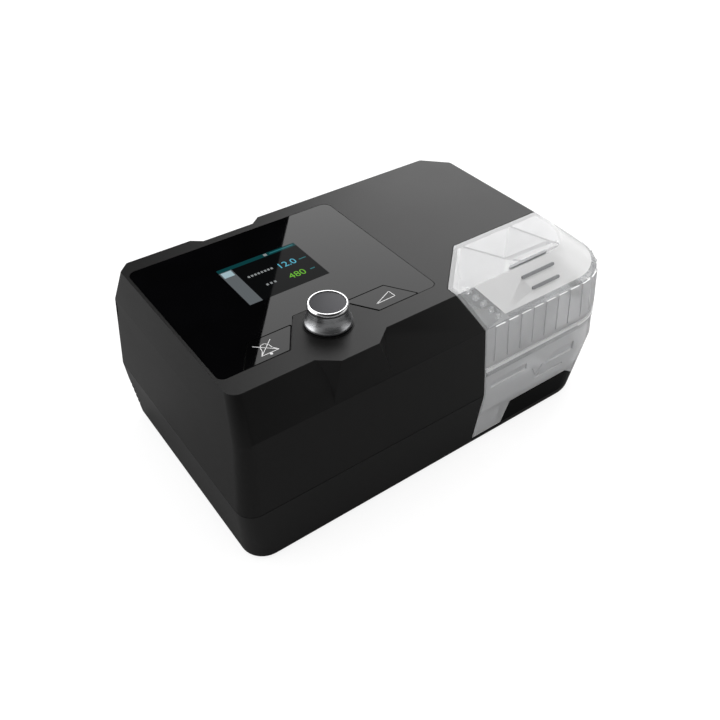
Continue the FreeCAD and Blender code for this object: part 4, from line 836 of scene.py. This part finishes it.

# The lid's slopes fall 23 mm from its roof to the crease. A strip over the crease and up the left
# side of the front slope is divided off, to carry painted shade.
slope_fall = 23.0
lid_roof_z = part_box("top_casing")[1].z
lid_crease_z = lid_roof_z - slope_fall * MM
joint_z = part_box("chamber_tub")[1].z
strip_z = lid_crease_z + 3.6 * MM
strip_corner = Vector((20.9 * MM, 0, lid_roof_z))
strip_way = Vector((slope_fall, 0, 19.9)).normalized()
slope_point = Vector((0, -59.6 * MM, lid_roof_z))
slope_way = Vector((0, -slope_fall, 11.0)).normalized()
bars_left = 49 * MM
bars_right = 84 * MM
casing_trees = [surface_tree(nodes[name].data) for name in ("top_casing", "base_casing")]


def is_inner_wall(tree, point, normal):
    """Whether a face belongs to a wall that stands free inside the chamber, not to its shell."""
    thickest = 3.0 * MM
    ahead = tree.ray_cast(point + normal * 0.02 * MM, normal)
    back = -normal
    through = tree.ray_cast(point + back * 0.02 * MM, back)
    if ahead[0] is None or through[0] is None or through[3] > thickest:
        return False
    return tree.ray_cast(through[0] + back * 0.05 * MM, back)[0] is not None


def share_plastics(piece):
    """Gives the faces of a chamber part their polycarbonate, with painted light and painted shade
    by where they stand.
    """
    mesh = piece.data
    for material in plastics:
        mesh.materials.append(material)
    own = surface_tree(mesh)
    points = inside_points(mesh)
    for face in mesh.polygons:
        point = points[face.index]
        tilt = abs(face.normal.z)
        over_slope = (point - slope_point).dot(slope_way)
        raised = max(over_slope, point.z - lid_roof_z) > 0.05 * MM
        on_bar = raised and point.z > strip_z and bars_left < point.x < bars_right
        on_roof = tilt > 0.95 and point.z > lid_roof_z - 3.0 * MM
        on_slope = tilt > 0.2 and point.z > lid_crease_z - 0.5 * MM
        over_crease = point.z > lid_crease_z + 0.6 * MM
        in_strip = point.z < strip_z or (point - strip_corner).dot(strip_way) < 0
        outside = own.ray_cast(point + face.normal * 0.02 * MM, face.normal)[0] is None
        small_inside = face.area < 60 * MM * MM and not outside
        casing_gap = min(tree.find_nearest(point)[3] for tree in casing_trees)
        in_bay = casing_gap < 3.4 * MM and point.y > -68 * MM
        # Bars and inner walls take painted shade, the slope and the bay sides painted light, and
        # the crease strip painted shade.
        if on_bar:
            face.material_index = SHADED_INNER_WALL
        elif on_roof:
            face.material_index = ROOF
        elif on_slope:
            face.material_index = SHADED_EDGE_STRIP if in_strip and over_crease else LIT_SLOPE
        elif in_bay or (in_strip and small_inside and point.z > lid_crease_z):
            face.material_index = LIT_BAY_SIDE
        elif is_inner_wall(own, point, face.normal):
            face.material_index = SHADED_INNER_WALL
        # Painted highlight on the band above the joint, and painted shadow on the band below it.
        elif outside and abs(point.z - joint_z) < 3.2 * MM:
            face.material_index = LIT_BAY_SIDE if point.z > joint_z else SHADED_EDGE_STRIP


tub = softened("chamber_tub", "water_chamber", frosted_pc, 0.35, 2)
share_plastics(tub)
lid_cuts = [((0, 0, strip_z), (0, 0, 1)), (strip_corner, strip_way)]
lid = softened("chamber_lid", "chamber_cover", frosted_pc, 0.3, 2, cuts=lid_cuts)
share_plastics(lid)

# ---------------------------------------------------------------- floor, lights and camera
# The machine stands on a plain pale floor that runs up into white, and one large soft box behind
# it on the right lights it, with a weaker one on the left.
white_light = hex_colour("#ffffff")


def straight_rays(tree):
    """1 for rays straight from the camera or through clear plastic, and 0 for all others."""
    paths = add(tree, "LightPath")
    kinds = {0: paths.outputs["Is Camera Ray"], 1: paths.outputs["Is Transmission Ray"]}
    return add(tree, "Math", kinds, operation="MAXIMUM").outputs[0]


# Grey paper that a glow lifts to white where it is seen straight, so that shadows stay on it.
floor_paper, tree, place = start_material("paper_white")
grain = add(tree, "TexNoise", {"Vector": place, "Scale": scale_of(4.0), "Detail": 2.0})
shades = between(grain.outputs[0], "#767676", "#7a7a7a")
colour = add(tree, "Mix", shades, data_type="RGBA")
inputs = {"Base Color": colour.outputs[MIXED_COLOUR], "Roughness": 0.9}
paper = add(tree, "BsdfPrincipled", inputs)
glow = add(tree, "Emission", {"Color": white_light, "Strength": 0.8})
glowing = add(tree, "AddShader", {0: paper.outputs[0], 1: glow.outputs[0]})
choice = {"Fac": straight_rays(tree), 1: paper.outputs[0], 2: glowing.outputs[0]}
add(tree, "OutputMaterial", {"Surface": add(tree, "MixShader", choice).outputs[0]})
floor_shape = bmesh.new()
bmesh.ops.create_grid(floor_shape, x_segments=1, y_segments=1, size=6.0)
floor = bpy.data.objects.new("floor", mesh_of("floor", floor_shape))
floor.data.materials.append(floor_paper)
bpy.context.scene.collection.objects.link(floor)

world = bpy.data.worlds.new("studio")
bpy.context.scene.world = world
world.use_nodes = True
tree = world.node_tree
tree.nodes.clear()
way = add(tree, "TexCoord").outputs["Generated"]

# Gloss mirrors a dark studio with a low white band, brightest behind the machine, and with a
# white strip at each side of it.
rise = add(tree, "VectorMath", {0: way, 1: (0.0, 0.0, 1.0)}, operation="DOT_PRODUCT")
behind = add(tree, "VectorMath", {0: way, 1: (-0.35, 0.94, 0.0)}, operation="DOT_PRODUCT")
across = add(tree, "VectorMath", {0: way, 1: (0.812, -0.583, 0.0)}, operation="DOT_PRODUCT")
aside = add(tree, "Math", {0: across.outputs["Value"]}, operation="ABSOLUTE")
band_span = {"From Min": 0.35, "From Max": 0.05, "To Min": 0.0, "To Max": 1.0}
low_band = add(tree, "MapRange", {"Value": rise.outputs["Value"], **band_span})
back_span = {"From Min": -0.5, "From Max": 0.6, "To Min": 0.02, "To Max": 0.75}
back_side = add(tree, "MapRange", {"Value": behind.outputs["Value"], **back_span})
strip_span = {"From Min": 0.82, "From Max": 1.0, "To Min": 0.0, "To Max": 1.4}
strips = add(tree, "MapRange", {"Value": aside.outputs[0], **strip_span})
around = add(tree, "Math", {0: back_side.outputs[0], 1: strips.outputs[0]}, operation="MAXIMUM")
level = add(tree, "Math", {0: low_band.outputs[0], 1: around.outputs[0]}, operation="MULTIPLY")
studio = add(tree, "Background", {"Color": white_light, "Strength": level.outputs[0]})

# All other light comes from an overhead dome, and what is seen straight is white.
dome_span = {"From Min": 0.2, "From Max": 0.9, "To Min": 0.05, "To Max": 2.0}
overhead = add(tree, "MapRange", {"Value": rise.outputs["Value"], **dome_span})
dome = add(tree, "Background", {"Color": white_light, "Strength": overhead.outputs[0]})
white = add(tree, "Background", {"Color": white_light, "Strength": 1.0})
glossy = add(tree, "LightPath").outputs["Is Glossy Ray"]
lit_by = add(tree, "MixShader", {"Fac": glossy, 1: dome.outputs[0], 2: studio.outputs[0]})
choice = {"Fac": straight_rays(tree), 1: lit_by.outputs[0], 2: white.outputs[0]}
add(tree, "OutputWorld", {"Surface": add(tree, "MixShader", choice).outputs[0]})


def soft_box(name, middle, facing, long_way, size, power):
    """Rectangular area light whose long side lies along a given direction."""
    lamp = bpy.data.lights.new(name, "AREA")
    lamp.shape = "RECTANGLE"
    lamp.size, lamp.size_y = size
    lamp.energy = power
    back = -Vector(facing).normalized()
    side = Vector(long_way).normalized()
    up = back.cross(side).normalized()
    side = up.cross(back).normalized()
    turn = Matrix((side, up, back)).transposed().to_4x4()
    soft_light = bpy.data.objects.new(name, lamp)
    soft_light.matrix_world = Matrix.Translation(middle) @ turn
    soft_light.visible_camera = False
    bpy.context.scene.collection.objects.link(soft_light)


# The right box starts at an edge whose mirror image crosses the window at a slant.
edge_start = Vector((0.4925, 0.9505, 0.7212))
edge_way = Vector((-0.631, -0.562, 0.535))
right_way = Vector((0.722, -0.678, 0.140))
box_long, box_short = 1.4, 1.1
right_middle = edge_start + right_way * box_short / 2
right_facing = (-0.284, -0.474, -0.834)
soft_box("soft_box_right", right_middle, right_facing, edge_way, (box_long, box_short), 12.2)
soft_box("soft_box_left", (-0.9, 0.55, 0.42), (0.8, -0.5, -0.35), (0.5, 0.8, 0), (1.2, 0.7), 4.5)

# The camera stands in front of the machine on its left, and looks down at it.
lens = bpy.data.cameras.new("camera")
lens.lens = 39.955
lens.sensor_width = 36.0
lens.clip_start = 0.01
camera = bpy.data.objects.new("camera", lens)
turn_z, lift = math.radians(-35.71), math.radians(41.04)
flat_way = Vector((math.sin(turn_z), -math.cos(turn_z), 0)) * math.cos(lift)
camera_back = flat_way + Vector((0, 0, math.sin(lift)))
camera_turn = camera_back.to_track_quat("Z", "Y").to_matrix().to_4x4()
camera.matrix_world = Matrix.Translation((-0.22722, -0.30203, 0.3532)) @ camera_turn
bpy.context.scene.collection.objects.link(camera)
bpy.context.scene.camera = camera
bpy.context.scene.view_settings.view_transform = "Standard"
